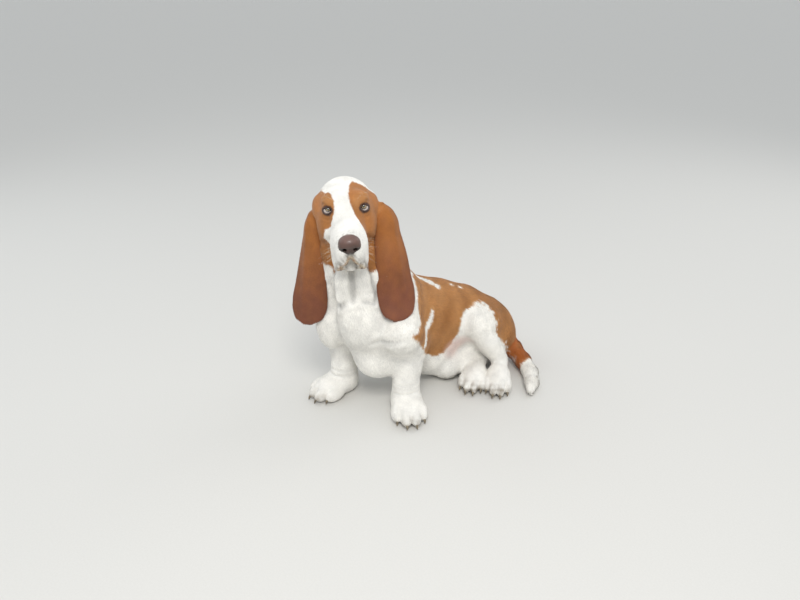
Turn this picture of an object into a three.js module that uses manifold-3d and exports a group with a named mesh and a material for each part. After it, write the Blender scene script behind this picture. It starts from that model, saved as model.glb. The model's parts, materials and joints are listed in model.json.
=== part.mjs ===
// A young basset hound sitting on its right haunch, head turned to its left, at life size in millimetres.
// +Z is up, the dog faces -Y, and its left side is +X. The origin is the middle of its footprint on the floor.
// The flesh is one smooth field of rounded limbs and ovals, parted into named pieces by thin flat cuts.

import * as THREE from "three";
import Module from "manifold-3d";
import { edgeTable, triTable } from "three/addons/objects/MarchingCubes.js";
import { mergeVertices } from "three/addons/utils/BufferGeometryUtils.js";

// Main sizes
const GAP = 0.3; // face to face between neighbouring pieces
const EYE_RADIUS = 11.4;
const LID_RADIUS = 13.6;
const EYE_PLACE = [35.5, -8, -6]; // each eye from the head's own origin, outward, forward and up
const CLAW_RADIUS = 3.4;
const EAR_THICKNESS = 3.6; // half of the leather

// Colours of the coat and the bare parts
const WHITE = 0xf1eee8;
const TAN = 0xb5804c;
const RUST = 0x8a4f30;
const LIVER = 0x4c3531;
const AMBER = 0x9a8a5e;
const HORN = 0x5d544c;

const vec = (x, y, z) => new THREE.Vector3(x, y, z);
const UP = vec(0, 0, 1);

function heading(degrees) {
  const a = THREE.MathUtils.degToRad(degrees);
  return vec(Math.sin(a), -Math.cos(a), 0);
}

// A placed frame: left, forward and up from an origin
class Frame {
  constructor(origin, forward, rollDegrees = 0) {
    this.o = origin;
    this.f = forward.clone().normalize();
    const left = UP.clone().cross(this.f).normalize();
    const up = this.f.clone().cross(left);
    const r = THREE.MathUtils.degToRad(rollDegrees);
    this.l = left.clone().multiplyScalar(Math.cos(r)).addScaledVector(up, Math.sin(r));
    this.u = up.clone().multiplyScalar(Math.cos(r)).addScaledVector(left, -Math.sin(r));
  }
  at(l, f, u) {
    return this.o.clone().addScaledVector(this.l, l).addScaledVector(this.f, f).addScaledVector(this.u, u);
  }
  dir(l, f, u) {
    return vec(0, 0, 0).addScaledVector(this.l, l).addScaledVector(this.f, f).addScaledVector(this.u, u);
  }
}

function tilted(azimuth, pitch, roll, origin) {
  const p = THREE.MathUtils.degToRad(pitch);
  const forward = heading(azimuth).multiplyScalar(Math.cos(p)).addScaledVector(UP, -Math.sin(p));
  return new Frame(origin, forward, roll);
}

const HEAD = tilted(52, 14, 2.5, vec(-65, -185, 480)); // origin between the eyes
// The eyes look a little up and out from the face
function eyeFrame(side) {
  const [spread, forward, up] = EYE_PLACE;
  return new Frame(HEAD.at(side * spread, forward, up), HEAD.dir(side * 0.16, 1, 0.42), 2.5);
}

const CHEST = new Frame(vec(-78, -61, 0), heading(16)); // origin below the withers
const PELVIS = new Frame(vec(0, 192, 0), vec(-0.63, -0.777, 0));
const WORLD = new Frame(vec(0, 0, 0), vec(0, -1, 0));

// Field pieces. Each has a distance in millimetres, negative inside, and the width of its blend.
function oval(frame, centre, radii, blend = 20) {
  const c = frame.at(...centre);
  const { l, f, u } = frame;
  const [rl, rf, ru] = radii;
  const distance = (x, y, z) => {
    const dx = x - c.x;
    const dy = y - c.y;
    const dz = z - c.z;
    const a = (dx * l.x + dy * l.y + dz * l.z) / rl;
    const b = (dx * f.x + dy * f.y + dz * f.z) / rf;
    const h = (dx * u.x + dy * u.y + dz * u.z) / ru;
    const k0 = Math.sqrt(a * a + b * b + h * h);
    const k1 = Math.sqrt((a / rl) ** 2 + (b / rf) ** 2 + (h / ru) ** 2);
    return (k0 * (k0 - 1)) / Math.max(k1, 1e-9);
  };
  return { distance, blend };
}

// A chain of flattened tapering limbs. A node is [left, forward, up, half width, half height].
function limb(frame, nodes, across, blend = 15, inner = 10) {
  const side = frame.dir(...across);
  const segments = [];
  for (let i = 0; i + 1 < nodes.length; i += 1) {
    const a = frame.at(nodes[i][0], nodes[i][1], nodes[i][2]);
    const b = frame.at(nodes[i + 1][0], nodes[i + 1][1], nodes[i + 1][2]);
    const run = b.clone().sub(a);
    const axis = run.clone().normalize();
    const l = side.clone().addScaledVector(axis, -side.dot(axis)).normalize();
    const u = axis.clone().cross(l);
    const sizes = [nodes[i][3], nodes[i + 1][3], nodes[i][4], nodes[i + 1][4]];
    segments.push({ a, run, axis, l, u, sizes, square: run.lengthSq() });
  }
  const distance = (x, y, z) => {
    let best = Infinity;
    for (const s of segments) {
      const qx = x - s.a.x;
      const qy = y - s.a.y;
      const qz = z - s.a.z;
      const along = (qx * s.run.x + qy * s.run.y + qz * s.run.z) / s.square;
      const h = Math.min(1, Math.max(0, along));
      const dx = qx - h * s.run.x;
      const dy = qy - h * s.run.y;
      const dz = qz - h * s.run.z;
      const rl = s.sizes[0] + (s.sizes[1] - s.sizes[0]) * h;
      const ru = s.sizes[2] + (s.sizes[3] - s.sizes[2]) * h;
      const a = (dx * s.l.x + dy * s.l.y + dz * s.l.z) / rl;
      const b = (dx * s.u.x + dy * s.u.y + dz * s.u.z) / ru;
      const c = (dx * s.axis.x + dy * s.axis.y + dz * s.axis.z) / ((rl + ru) / 2);
      const n = Math.sqrt(a * a + b * b + c * c);
      const reach = Math.sqrt(dx * dx + dy * dy + dz * dz);
      const value = n > 1e-6 ? reach * (1 - 1 / n) : -Math.min(rl, ru);
      best = best === Infinity ? value : blendMin(best, value, inner);
    }
    return best;
  };
  return { distance, blend };
}

function blendMin(a, b, k) {
  const h = Math.max(k - Math.abs(a - b), 0) / k;
  return Math.min(a, b) - (h * h * h * k) / 6;
}

function joined(pieces) {
  return (x, y, z) => {
    let value = 1000;
    for (const piece of pieces) {
      value = blendMin(value, piece.distance(x, y, z), piece.blend);
    }
    return value;
  };
}

// A node of a limb written in one frame, placed from a point of another
function node(point, width, height) {
  return [point.x, -point.y, point.z, width, height];
}

function torsoPieces() {
  const spine = [
    [-54, 146, 218, 64, 68],
    [-70, 90, 196, 92, 106],
    [-76, -10, 158, 96, 98],
    [-62, -80, 138, 90, 92],
    [-38, -145, 121, 79, 80],
    [-3, -188, 96, 70, 71],
    [30, -217, 72, 46, 50],
  ];
  return [
    limb(WORLD, spine, [1, -0.3, 0], 35, 30),
    oval(CHEST, [0, -8, 252], [52, 80, 52], 35), // withers
    oval(CHEST, [-4, 118, 244], [46, 36, 46], 30), // breastbone
    oval(CHEST, [-90, 98, 190], [34, 38, 66], 26), // right upper arm
    oval(CHEST, [8, 40, 118], [62, 80, 62], 30), // brisket
    oval(WORLD, [-38, -38, 78], [63, 72, 70], 35), // belly
  ];
}

function neckPieces() {
  const nape = [
    node(CHEST.at(-4, 2, 250), 58, 68),
    node(CHEST.at(-8, 38, 325), 58, 70),
    node(vec(-112, -120, 392), 54, 64),
    node(HEAD.at(0, -78, -30), 47, 45),
  ];
  const dewlap = [
    node(HEAD.at(0, 6, -72), 25, 22),
    node(HEAD.at(0, -12, -118), 34, 28),
    node(vec(-66, -174, 322), 42, 32),
    node(CHEST.at(-2, 104, 262), 46, 32),
  ];
  const side = [
    [-34, -26, -62, 21, 26],
    [-38, -20, -112, 23, 28],
    [-42, -14, -170, 25, 30],
    [-44, -4, -228, 30, 32],
  ];
  const lobes = [1, -1].map((way) => {
    const lobe = [
      [way * 13, 34, -98, 11, 11],
      [way * 21, 48, -140, 14, 14],
      [way * 28, 57, -182, 11, 10],
    ];
    return limb(HEAD, lobe, [1, 0, 0], 8);
  });
  return [
    ...lobes,
    limb(HEAD, side, [1, 0, 0], 22),
    limb(WORLD, nape, [0.961, -0.276, 0], 35, 30),
    limb(WORLD, dewlap, [0.616, -0.788, 0], 25, 20),
  ];
}

// A paw at a point on the floor, opening forward into four toes
const TOES = [
  { side: -28, reach: 46, size: 12.5 },
  { side: -10, reach: 62, size: 13.5 },
  { side: 10, reach: 62, size: 13.5 },
  { side: 28, reach: 46, size: 12.5 },
];

function pawPieces(frame, wide, long) {
  const pieces = [oval(frame, [0, 24 * long, 23], [36 * wide, 48 * long, 26], 18)];
  for (const toe of TOES) {
    pieces.push(oval(frame, [toe.side * wide, toe.reach * long, 17], [toe.size * wide, 25 * long, 18], 6));
  }
  return pieces;
}

const FORE = {
  left: { side: 1, wrist: vec(16, -96, 0), elbow: vec(0, -70, 150), turn: 53, wide: 1.06, long: 1.12 },
  right: { side: -1, wrist: vec(-140, -147, 0), elbow: vec(-166, -122, 146), turn: -2, wide: 1.06, long: 1.12 },
};
for (const leg of Object.values(FORE)) {
  leg.paw = new Frame(leg.wrist, heading(leg.turn));
}

function forelegPieces(leg) {
  const shoulder = CHEST.at(leg.side * 82, 80, 205);
  const wrist = leg.wrist.clone().setZ(54);
  const heel = leg.wrist.clone().setZ(26);
  const middle = leg.elbow.clone().add(leg.wrist.clone().setZ(48)).multiplyScalar(0.5);
  const blade = [node(CHEST.at(leg.side * 38, -10, 252), 33, 38), node(shoulder, 40, 46)];
  const upperArm = [node(shoulder, 46, 42), node(leg.elbow, 42, 46)];
  const forearm = [node(leg.elbow, 38, 46), node(middle, 34, 36), node(wrist, 30, 31), node(heel, 35, 35)];
  return [
    limb(WORLD, blade, [0.276, 0.961, 0], 32),
    limb(WORLD, upperArm, [0.276, 0.961, 0], 34),
    limb(WORLD, forearm, [0.961, -0.276, 0], 26, 15),
    ...pawPieces(leg.paw, leg.wide, leg.long),
  ];
}

const HIND = {
  left: { ankle: vec(85, 166, 0), turn: 34, sole: 34, wide: 0.87 },
  right: { ankle: vec(34, 148, 0), turn: 29, sole: 46, wide: 0.86 },
};
for (const leg of Object.values(HIND)) {
  leg.foot = new Frame(leg.ankle, heading(leg.turn));
  leg.paw = new Frame(leg.foot.at(0, leg.sole, 0), leg.foot.f);
}

function footPieces(leg) {
  const sole = [
    [0, -22, 22, 19, 23],
    [0, 42, 22, 23, 23],
  ];
  return [limb(leg.foot, sole, [1, 0, 0], 15), ...pawPieces(leg.paw, leg.wide, 1)];
}

function leftHindPieces() {
  const hip = vec(10, 190, 118);
  const knee = vec(31, 119, 138);
  const ankle = vec(83, 165, 40);
  const thighMiddle = hip.clone().add(knee).multiplyScalar(0.5).add(vec(3, -2, 2));
  const shankMiddle = knee.clone().add(ankle).multiplyScalar(0.5).add(vec(2, 4, 0));
  return [
    limb(WORLD, [node(hip, 50, 66), node(thighMiddle, 46, 56), node(knee, 33, 38)], [0, 0, 1], 26, 20),
    limb(WORLD, [node(knee, 33, 34), node(shankMiddle, 29, 34), node(ankle, 22, 25)], [0, 0, 1], 22, 18),
    oval(WORLD, [42, -204, 80], [40, 50, 58], 33), // rump
    ...footPieces(HIND.left),
  ];
}

// The right thigh and knee lie on the floor under the belly
function rightThighPieces() {
  const thigh = [
    [-30, -190, 58, 48, 59],
    [-14, -120, 45, 38, 47],
    [4, -56, 33, 31, 36],
  ];
  return [limb(WORLD, thigh, [0, 0, 1], 28, 20)];
}

function rightFootPieces() {
  const shank = [
    [4, -56, 32, 29, 31],
    [36, -150, 32, 22, 24],
  ];
  return [limb(WORLD, shank, [0, 0, 1], 14), ...footPieces(HIND.right)];
}

function tailPieces() {
  const bones = [
    [43, -224, 66, 27, 27],
    [74, -233, 38, 23, 23],
    [114, -222, 24, 20, 20],
    [155, -197, 19, 19, 19],
    [182, -165, 17, 17, 17],
    [195, -143, 12, 11, 11],
  ];
  return [limb(WORLD, bones, [0, 0, 1], 15, 15)];
}

function headPieces() {
  const pieces = [
    oval(HEAD, [0, -60, -24], [57, 72, 40], 22), // skull
    oval(HEAD, [0, -24, -12], [44, 50, 33], 22), // forehead
  ];
  for (const side of [1, -1]) {
    const lip = [
      [side * 16, 20, -42, 21, 30],
      [side * 17, 60, -47, 20, 34],
      [side * 15, 88, -46, 15, 28],
    ];
    pieces.push(
      oval(HEAD, [side * 30, -20, 9], [18, 20, 12], 18), // brow
      oval(HEAD, [side * 37, -26, -50], [25, 50, 40], 25), // cheek
      limb(HEAD, lip, [1, 0, 0], 18),
      oval(HEAD, [side * 24, 56, -77], [14, 37, 26], 14), // hanging lip
      oval(HEAD, [side * 54, -62, -34], [16, 34, 22], 18), // root of the ear
    );
  }
  const bridge = [
    [0, 0, -20, 29, 25],
    [0, 50, -23, 23, 21],
    [0, 88, -25, 19, 18],
  ];
  pieces.push(
    limb(HEAD, bridge, [1, 0, 0], 18),
    oval(HEAD, [0, 58, -88], [24, 30, 14], 12), // chin
    oval(HEAD, [0, -24, -80], [38, 50, 28], 25), // throat
  );
  for (const side of [1, -1]) {
    pieces.push(oval(eyeFrame(side), [0, 0, 0], [13.6, 13.4, 13.4], 6)); // lids over the eye
  }
  return pieces;
}

const main = joined([
  ...torsoPieces(),
  ...neckPieces(),
  ...forelegPieces(FORE.left),
  ...forelegPieces(FORE.right),
  ...leftHindPieces(),
  ...rightThighPieces(),
  ...tailPieces(),
  ...headPieces(),
]);
const rightFoot = joined(rightFootPieces());
const flesh = (x, y, z) => Math.max(blendMin(main(x, y, z), rightFoot(x, y, z), 8), -z);

// Marching cubes over one block of a frame, with the corners then moved onto the field
function gridLines(low, high, step) {
  const count = Math.max(2, Math.round((high - low) / step));
  return Array.from({ length: count + 1 }, (_, i) => low + ((high - low) * i) / count);
}

const CORNERS = [
  [0, 0, 0],
  [1, 0, 0],
  [1, 1, 0],
  [0, 1, 0],
  [0, 0, 1],
  [1, 0, 1],
  [1, 1, 1],
  [0, 1, 1],
];
const EDGES = [
  [0, 1],
  [1, 2],
  [3, 2],
  [0, 3],
  [4, 5],
  [5, 6],
  [7, 6],
  [4, 7],
  [0, 4],
  [1, 5],
  [2, 6],
  [3, 7],
];

function surface(field, frame, low, high, step) {
  const pad = [0, 1, 2].map((i) => (Array.isArray(step) ? step[i] : step));
  const lines = [0, 1, 2].map((i) => gridLines(low[i] - pad[i], high[i] + pad[i], pad[i]));
  const inner = [0, 1, 2].map((i) => [low[i] - pad[i] * 0.6, high[i] + pad[i] * 0.6]);
  const bounded = (p) => {
    const q = p.clone().sub(frame.o);
    const local = [q.dot(frame.l), q.dot(frame.f), q.dot(frame.u)];
    let value = field(p.x, p.y, p.z);
    for (let i = 0; i < 3; i += 1) {
      value = Math.max(value, inner[i][0] - local[i], local[i] - inner[i][1]);
    }
    return value;
  };
  const [nx, ny, nz] = lines.map((line) => line.length);
  const smallest = Math.min(...pad) * 0.16;
  const values = new Float64Array(nx * ny * nz);
  const index = (i, j, k) => (k * ny + j) * nx + i;
  for (let k = 0; k < nz; k += 1) {
    for (let j = 0; j < ny; j += 1) {
      for (let i = 0; i < nx; i += 1) {
        const value = bounded(frame.at(lines[0][i], lines[1][j], lines[2][k]));
        values[index(i, j, k)] = Math.abs(value) < smallest ? Math.sign(value || 1) * smallest : value;
      }
    }
  }
  const points = [];
  const faces = [];
  const known = new Map();
  const cornerAt = (i, j, k, edge) => {
    const [a, b] = EDGES[edge].map((corner) => CORNERS[corner]);
    const ia = index(i + a[0], j + a[1], k + a[2]);
    const ib = index(i + b[0], j + b[1], k + b[2]);
    const key = ia < ib ? `${ia}_${ib}` : `${ib}_${ia}`;
    if (!known.has(key)) {
      const t = values[ia] / (values[ia] - values[ib]);
      const at = (line, base, x, y) => {
        const p = line[base + x];
        const q = line[base + y];
        return p + (q - p) * t;
      };
      const x = at(lines[0], i, a[0], b[0]);
      const y = at(lines[1], j, a[1], b[1]);
      const z = at(lines[2], k, a[2], b[2]);
      known.set(key, points.length);
      points.push(frame.at(x, y, z));
    }
    return known.get(key);
  };
  for (let k = 0; k + 1 < nz; k += 1) {
    for (let j = 0; j + 1 < ny; j += 1) {
      for (let i = 0; i + 1 < nx; i += 1) {
        let mask = 0;
        CORNERS.forEach(([a, b, c], bit) => {
          if (values[index(i + a, j + b, k + c)] > 0) {
            mask |= 1 << bit;
          }
        });
        if (edgeTable[mask] === 0) {
          continue;
        }
        for (let t = mask * 16; triTable[t] !== -1; t += 3) {
          faces.push([0, 1, 2].map((n) => cornerAt(i, j, k, triTable[t + n])));
        }
      }
    }
  }
  relax(points, faces, bounded, Math.min(...pad));
  return solidFrom(points, faces);
}

// Evens out the net, then moves each point back onto the field
function relax(points, faces, field, step) {
  const neighbours = points.map(() => new Set());
  for (const [a, b, c] of faces) {
    neighbours[a].add(b).add(c);
    neighbours[b].add(a).add(c);
    neighbours[c].add(a).add(b);
  }
  const settle = (p) => {
    const e = 0.5;
    const value = field(p);
    const slope = vec(
      field(p.clone().add(vec(e, 0, 0))) - field(p.clone().add(vec(-e, 0, 0))),
      field(p.clone().add(vec(0, e, 0))) - field(p.clone().add(vec(0, -e, 0))),
      field(p.clone().add(vec(0, 0, e))) - field(p.clone().add(vec(0, 0, -e))),
    ).divideScalar(2 * e);
    const square = Math.max(slope.lengthSq(), 0.2);
    const move = THREE.MathUtils.clamp(-value / square, -step / 2, step / 2);
    return p.addScaledVector(slope, move);
  };
  for (let round = 0; round < 3; round += 1) {
    const middles = points.map((p, i) => {
      const sum = vec(0, 0, 0);
      neighbours[i].forEach((j) => sum.add(points[j]));
      return sum.divideScalar(neighbours[i].size);
    });
    points.forEach((p, i) => p.lerp(middles[i], 0.35));
    points.forEach((p) => settle(settle(p)));
  }
}

// Solids, joined and cut
const wasm = await Module();
wasm.setup();

function solidFrom(points, faces) {
  const vertProperties = new Float32Array(points.flatMap((p) => [p.x, p.y, p.z]));
  const build = (list) => {
    const mesh = new wasm.Mesh({ numProp: 3, vertProperties, triVerts: new Uint32Array(list.flat()) });
    return new wasm.Manifold(mesh);
  };
  const solid = build(faces);
  return solid.volume() > 0 ? solid : build(faces.map(([a, b, c]) => [a, c, b]));
}

function solidFromGeometry(geometry) {
  const bare = geometry.clone();
  bare.deleteAttribute("normal");
  bare.deleteAttribute("uv");
  const merged = mergeVertices(bare, 1e-4);
  const position = merged.attributes.position;
  const points = Array.from({ length: position.count }, (_, i) => vec(0, 0, 0).fromBufferAttribute(position, i));
  const faces = [];
  for (let i = 0; i < merged.index.count; i += 3) {
    faces.push([0, 1, 2].map((n) => merged.index.getX(i + n)));
  }
  return solidFrom(points, faces);
}

function geometryFrom(solid) {
  const mesh = solid.getMesh();
  const geometry = new THREE.BufferGeometry();
  geometry.setAttribute("position", new THREE.BufferAttribute(new Float32Array(mesh.vertProperties), 3));
  geometry.setIndex(Array.from(mesh.triVerts));
  geometry.computeVertexNormals();
  return geometry;
}

function largest(solid) {
  return solid.decompose().reduce((best, piece) => (piece.volume() > best.volume() ? piece : best));
}

function placement(frame, centre) {
  const basis = new THREE.Matrix4().makeBasis(frame.l, frame.f.clone().negate(), frame.u);
  return basis.setPosition(centre);
}

function block(region, grow = 0) {
  const { frame, low, high } = region;
  const size = [0, 1, 2].map((i) => high[i] - low[i] + 2 * grow);
  const centre = frame.at(...[0, 1, 2].map((i) => (high[i] + low[i]) / 2));
  const geometry = new THREE.BoxGeometry(...size);
  return solidFromGeometry(geometry.applyMatrix4(placement(frame, centre)));
}

function ellipsoid(frame, centre, radii, around = 14, up = 10) {
  const geometry = new THREE.SphereGeometry(1, around, up).scale(radii[0], radii[1], radii[2]);
  return solidFromGeometry(geometry.applyMatrix4(placement(frame, frame.at(...centre))));
}

// A round tube along a curve, closed by a point at each end
function tube(path, radiusAt, around = 8, count = 12) {
  const curve = new THREE.CatmullRomCurve3(path);
  const frames = curve.computeFrenetFrames(count, false);
  const points = [curve.getPoint(0)];
  for (let i = 0; i <= count; i += 1) {
    const p = curve.getPointAt(i / count);
    for (let j = 0; j < around; j += 1) {
      const a = (2 * Math.PI * j) / around;
      const r = radiusAt(i / count);
      points.push(
        p.clone().addScaledVector(frames.normals[i], r * Math.cos(a)).addScaledVector(frames.binormals[i], r * Math.sin(a)),
      );
    }
  }
  points.push(curve.getPoint(1));
  return solidFrom(points, ringFaces(around, count + 1));
}

// Faces of rings stacked between two end points
function ringFaces(around, rings) {
  const faces = [];
  const last = around * rings + 1;
  for (let j = 0; j < around; j += 1) {
    const next = (j + 1) % around;
    faces.push([0, 1 + next, 1 + j]);
    faces.push([last, last - around + j, last - around + next]);
    for (let i = 0; i + 1 < rings; i += 1) {
      const a = 1 + i * around + j;
      const b = 1 + i * around + next;
      faces.push([a, b, b + around], [a, b + around, a + around]);
    }
  }
  return faces;
}

// Ears. A row is [height, x, y, half width, turn of the broad face in degrees].
const EARS = {
  left: {
    side: 1,
    rows: [
      [465, -66, -92, 11, 30],
      [456, -56, -91, 19, 30],
      [440, -46, -92, 26, 28],
      [405, -33, -98, 31, 26],
      [369, -13, -108, 36, 24],
      [323, -2, -112, 40, 22],
      [288, 9, -116, 42, 20],
      [267, 17, -121, 38, 18],
      [254, 25, -127, 28, 16],
      [248, 29, -130, 14, 16],
    ],
  },
  right: {
    side: -1,
    rows: [
      [457, -152, -178, 11, 40],
      [448, -160, -187, 17, 38],
      [430, -161, -198, 22, 36],
      [393, -155, -208, 27, 30],
      [347, -149, -217, 33, 24],
      [298, -147, -225, 37, 18],
      [258, -147, -230, 41, 14],
      [230, -148, -233, 37, 12],
      [214, -149, -235, 27, 12],
      [207, -150, -236, 14, 12],
    ],
  },
};

// The leather is bowed across, more so near the root, where its front edge leaves an open cup
function earSolid(ear, grow = 0) {
  const around = 16;
  const points = [];
  const rows = ear.rows;
  const bottom = rows[rows.length - 1];
  const top = rows[0];
  rows.forEach(([height, x, y, half, turn], i) => {
    const a = THREE.MathUtils.degToRad(45 + 180 * (ear.side < 0) + ear.side * turn);
    const across = vec(Math.cos(a), Math.sin(a), 0);
    const face = vec(across.y, -across.x, 0).multiplyScalar(ear.side);
    const share = i / (rows.length - 1);
    const bow = 0.36 * (1 - share) + 0.1;
    const thick = EAR_THICKNESS * (1.5 - 0.6 * share) + grow;
    for (let j = 0; j < around; j += 1) {
      const t = (2 * Math.PI * j) / around;
      const w = (half + grow) * Math.cos(t);
      const curl = bow * half * (0.35 - (w / half) ** 2);
      const p = vec(x, y, height).addScaledVector(across, w);
      points.push(p.addScaledVector(face, curl + thick * Math.sin(t)));
    }
  });
  points.unshift(vec(top[1], top[2], top[0] + 5 + grow));
  points.push(vec(bottom[1], bottom[2], bottom[0] - 4 - grow));
  return solidFrom(points, ringFaces(around, rows.length));
}

// Nose leather, with two comma-shaped nostrils
function noseField(grow) {
  const pieces = [
    oval(HEAD, [0, 94, -15], [20.5 + grow, 16 + grow, 12.5 + grow], 6),
    oval(HEAD, [0, 97, -28], [13.5 + grow, 12 + grow, 10.5 + grow], 8),
  ];
  for (const side of [1, -1]) {
    pieces.push(oval(HEAD, [side * 12, 96, -22], [9.5 + grow, 11 + grow, 10.5 + grow], 6));
  }
  return joined(pieces);
}

function noseSolid(grow = 0) {
  return surface(noseField(grow), HEAD, [-26, 76, -43], [26, 114, 3], 6.8);
}

function nostril(side) {
  const path = [
    HEAD.at(side * 8.5, 102, -24.5),
    HEAD.at(side * 12, 109.5, -25),
    HEAD.at(side * 16, 108, -23.5),
    HEAD.at(side * 20.5, 102, -27),
    HEAD.at(side * 26, 95, -28),
  ];
  return tube(path, (t) => 3.9 - 2.4 * t, 8, 8);
}

// The edge of the opening between the lids, seen from the front
const OPENING = { half: 9, rise: 6.4, drop: 7.2 };

function openingEdge(side, share, wider = 0) {
  const a = 2 * Math.PI * share;
  const sine = Math.sin(a);
  const across = (OPENING.half + wider) * Math.cos(a);
  const tall = (sine > 0 ? OPENING.rise : OPENING.drop) + wider;
  const up = tall * Math.sign(sine) * Math.abs(sine) ** 1.25 - across * 0.06;
  return [side * across, up];
}

// The slit between the lids, cut in along the line of sight
function slit(side) {
  const around = 18;
  const eye = eyeFrame(side);
  const points = [eye.at(0, 6, 0)];
  for (const depth of [6, 24]) {
    for (let j = 0; j < around; j += 1) {
      const [across, up] = openingEdge(side, j / around);
      points.push(eye.at(across, depth, up));
    }
  }
  points.push(eye.at(0, 24, 0));
  return solidFrom(points, ringFaces(around, 2));
}

// A lid's rim follows the edge of the slit round the eyeball
function lidRim(side) {
  const eye = eyeFrame(side);
  const path = [];
  const count = 18;
  const rim = LID_RADIUS - 0.8;
  for (let j = 0; j <= count; j += 1) {
    const [across, up] = openingEdge(side, j / count + 0.5, 0.4);
    const depth = Math.sqrt(Math.max(rim * rim - across * across - up * up, 9));
    path.push(eye.at(across, depth, up));
  }
  return tube(path, () => 1.5, 6, 24);
}

// The line of the mouth runs under the nose, out over the chin and back below each hanging lip
function mouthLine(side) {
  const path = [
    HEAD.at(0, 105, -50),
    HEAD.at(side * 4, 104, -57),
    HEAD.at(side * 11, 99, -68),
    HEAD.at(side * 20, 90, -84),
    HEAD.at(side * 26, 72, -98),
    HEAD.at(side * 27, 48, -102),
    HEAD.at(side * 27, 22, -97),
  ];
  return tube(path, () => 2.2, 6, 12);
}

const philtrum = [HEAD.at(0, 107, -37), HEAD.at(0, 107, -43), HEAD.at(0, 105, -51)];

// Claws: each leaves its toe at the front, bent down to the floor
function clawSolid(frame, toe, wide, long, grow = 0) {
  const x = toe.side * wide;
  const y = (toe.reach + 25) * long;
  const path = [
    frame.at(x, y - 10, 14),
    frame.at(x * 1.02, y - 4, 12.5),
    frame.at(x * 1.04, y - 0.5, 9),
    frame.at(x * 1.05, y + 0.5, 4.5),
  ];
  return tube(path, (t) => CLAW_RADIUS * (1 - 0.72 * t * t) + grow, 5, 3);
}

// Regions that part the flesh, each an upright or tilted block of a frame. The first one that holds a point owns it.
const neckJoint = new Frame(HEAD.at(0, -62, -65), HEAD.dir(0, 0.893, -0.45));
const collar = new Frame(CHEST.at(0, 30, 298), CHEST.dir(0, 0.984, -0.176));
const feet = new Frame(vec(60, 157, 0), heading(32.5));
const half = GAP / 2;
const REGIONS = [
  { name: "head", frame: neckJoint, low: [-100, -100, half], high: [100, 175, 175], step: [10.4, 10.4, 10], colour: WHITE },
  { name: "neck", frame: collar, low: [-120, -140, half], high: [120, 150, 240], step: 19.5, colour: WHITE },
  { name: "forepaw_left", frame: FORE.left.paw, low: [-60, -44, -5], high: [60, 116, 40], step: 10, colour: WHITE },
  { name: "forepaw_right", frame: FORE.right.paw, low: [-60, -44, -5], high: [60, 116, 40], step: 10, colour: WHITE },
  { name: "foreleg_left", frame: CHEST, low: [46, -16, -5], high: [130, 110, 150], step: 15, colour: WHITE },
  { name: "foreleg_right", frame: CHEST, low: [-165, -18, -5], high: [-50, 115, 150], step: 15, colour: WHITE },
  { name: "hindpaw_right", frame: feet, low: [-68, 45.5, -5], high: [-half, 150, 60], step: 10, colour: WHITE },
  { name: "hindpaw_left", frame: feet, low: [half, 45.5, -5], high: [80, 150, 60], step: 10, colour: WHITE },
  { name: "hindleg_right", frame: feet, low: [-145, -60, -5], high: [-half, 95, 52], step: 15, colour: WHITE },
  { name: "tail", frame: PELVIS, low: [26, -160, -5], high: [225, -64, 96], step: 12, colour: RUST },
  { name: "hindleg_left", frame: PELVIS, low: [42, -64, -5], high: [165, 76, 215], step: 15, colour: WHITE },
  { name: "torso", frame: WORLD, low: [-220, -300, -5], high: [130, 260, 330], step: 22, colour: TAN },
];

const solids = new Map();
REGIONS.forEach((region, i) => {
  let solid = surface(flesh, region.frame, region.low, region.high, region.step);
  solid = solid.intersect(block(region));
  for (const earlier of REGIONS.slice(0, i)) {
    solid = solid.subtract(block(earlier, GAP));
  }
  solids.set(region.name, { solid, colour: region.colour });
});

// The head's features
let head = solids.get("head").solid;
const eyes = {};
for (const [name, side] of [["left", 1], ["right", -1]]) {
  head = head.subtract(slit(side)).add(lidRim(side));
  head = head.subtract(ellipsoid(eyeFrame(side), [0, 0, 0], Array(3).fill(EYE_RADIUS + GAP), 14, 9));
  head = head.subtract(mouthLine(side));
  eyes[name] = ellipsoid(eyeFrame(side), [0, 0, 0], Array(3).fill(EYE_RADIUS), 14, 9);
}
head = head.subtract(tube(philtrum, () => 1.4, 6, 4)).subtract(noseSolid(GAP * 2.5));
solids.get("head").solid = head;

for (const [name, ear] of Object.entries(EARS)) {
  const grown = earSolid(ear, GAP);
  for (const neighbour of ["head", "neck", "torso"]) {
    const entry = solids.get(neighbour);
    entry.solid = entry.solid.subtract(grown);
  }
  solids.set(`ear_${name}`, { solid: earSolid(ear), colour: RUST });
}
solids.set("nose", { solid: noseSolid().subtract(nostril(1)).subtract(nostril(-1)), colour: LIVER });
solids.set("eye_left", { solid: eyes.left, colour: AMBER });
solids.set("eye_right", { solid: eyes.right, colour: AMBER });

for (const [kind, legs] of [["fore", FORE], ["hind", HIND]]) {
  for (const [name, leg] of Object.entries(legs)) {
    TOES.forEach((toe, i) => {
      const socket = clawSolid(leg.paw, toe, leg.wide, leg.long ?? 1, GAP);
      for (const side of ["left", "right"]) {
        const entry = solids.get(`${kind}paw_${side}`);
        entry.solid = entry.solid.subtract(socket);
      }
      const claw = clawSolid(leg.paw, toe, leg.wide, leg.long ?? 1);
      solids.set(`claw_${kind}_${name}_${i + 1}`, { solid: claw, colour: HORN });
    });
  }
}

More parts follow.
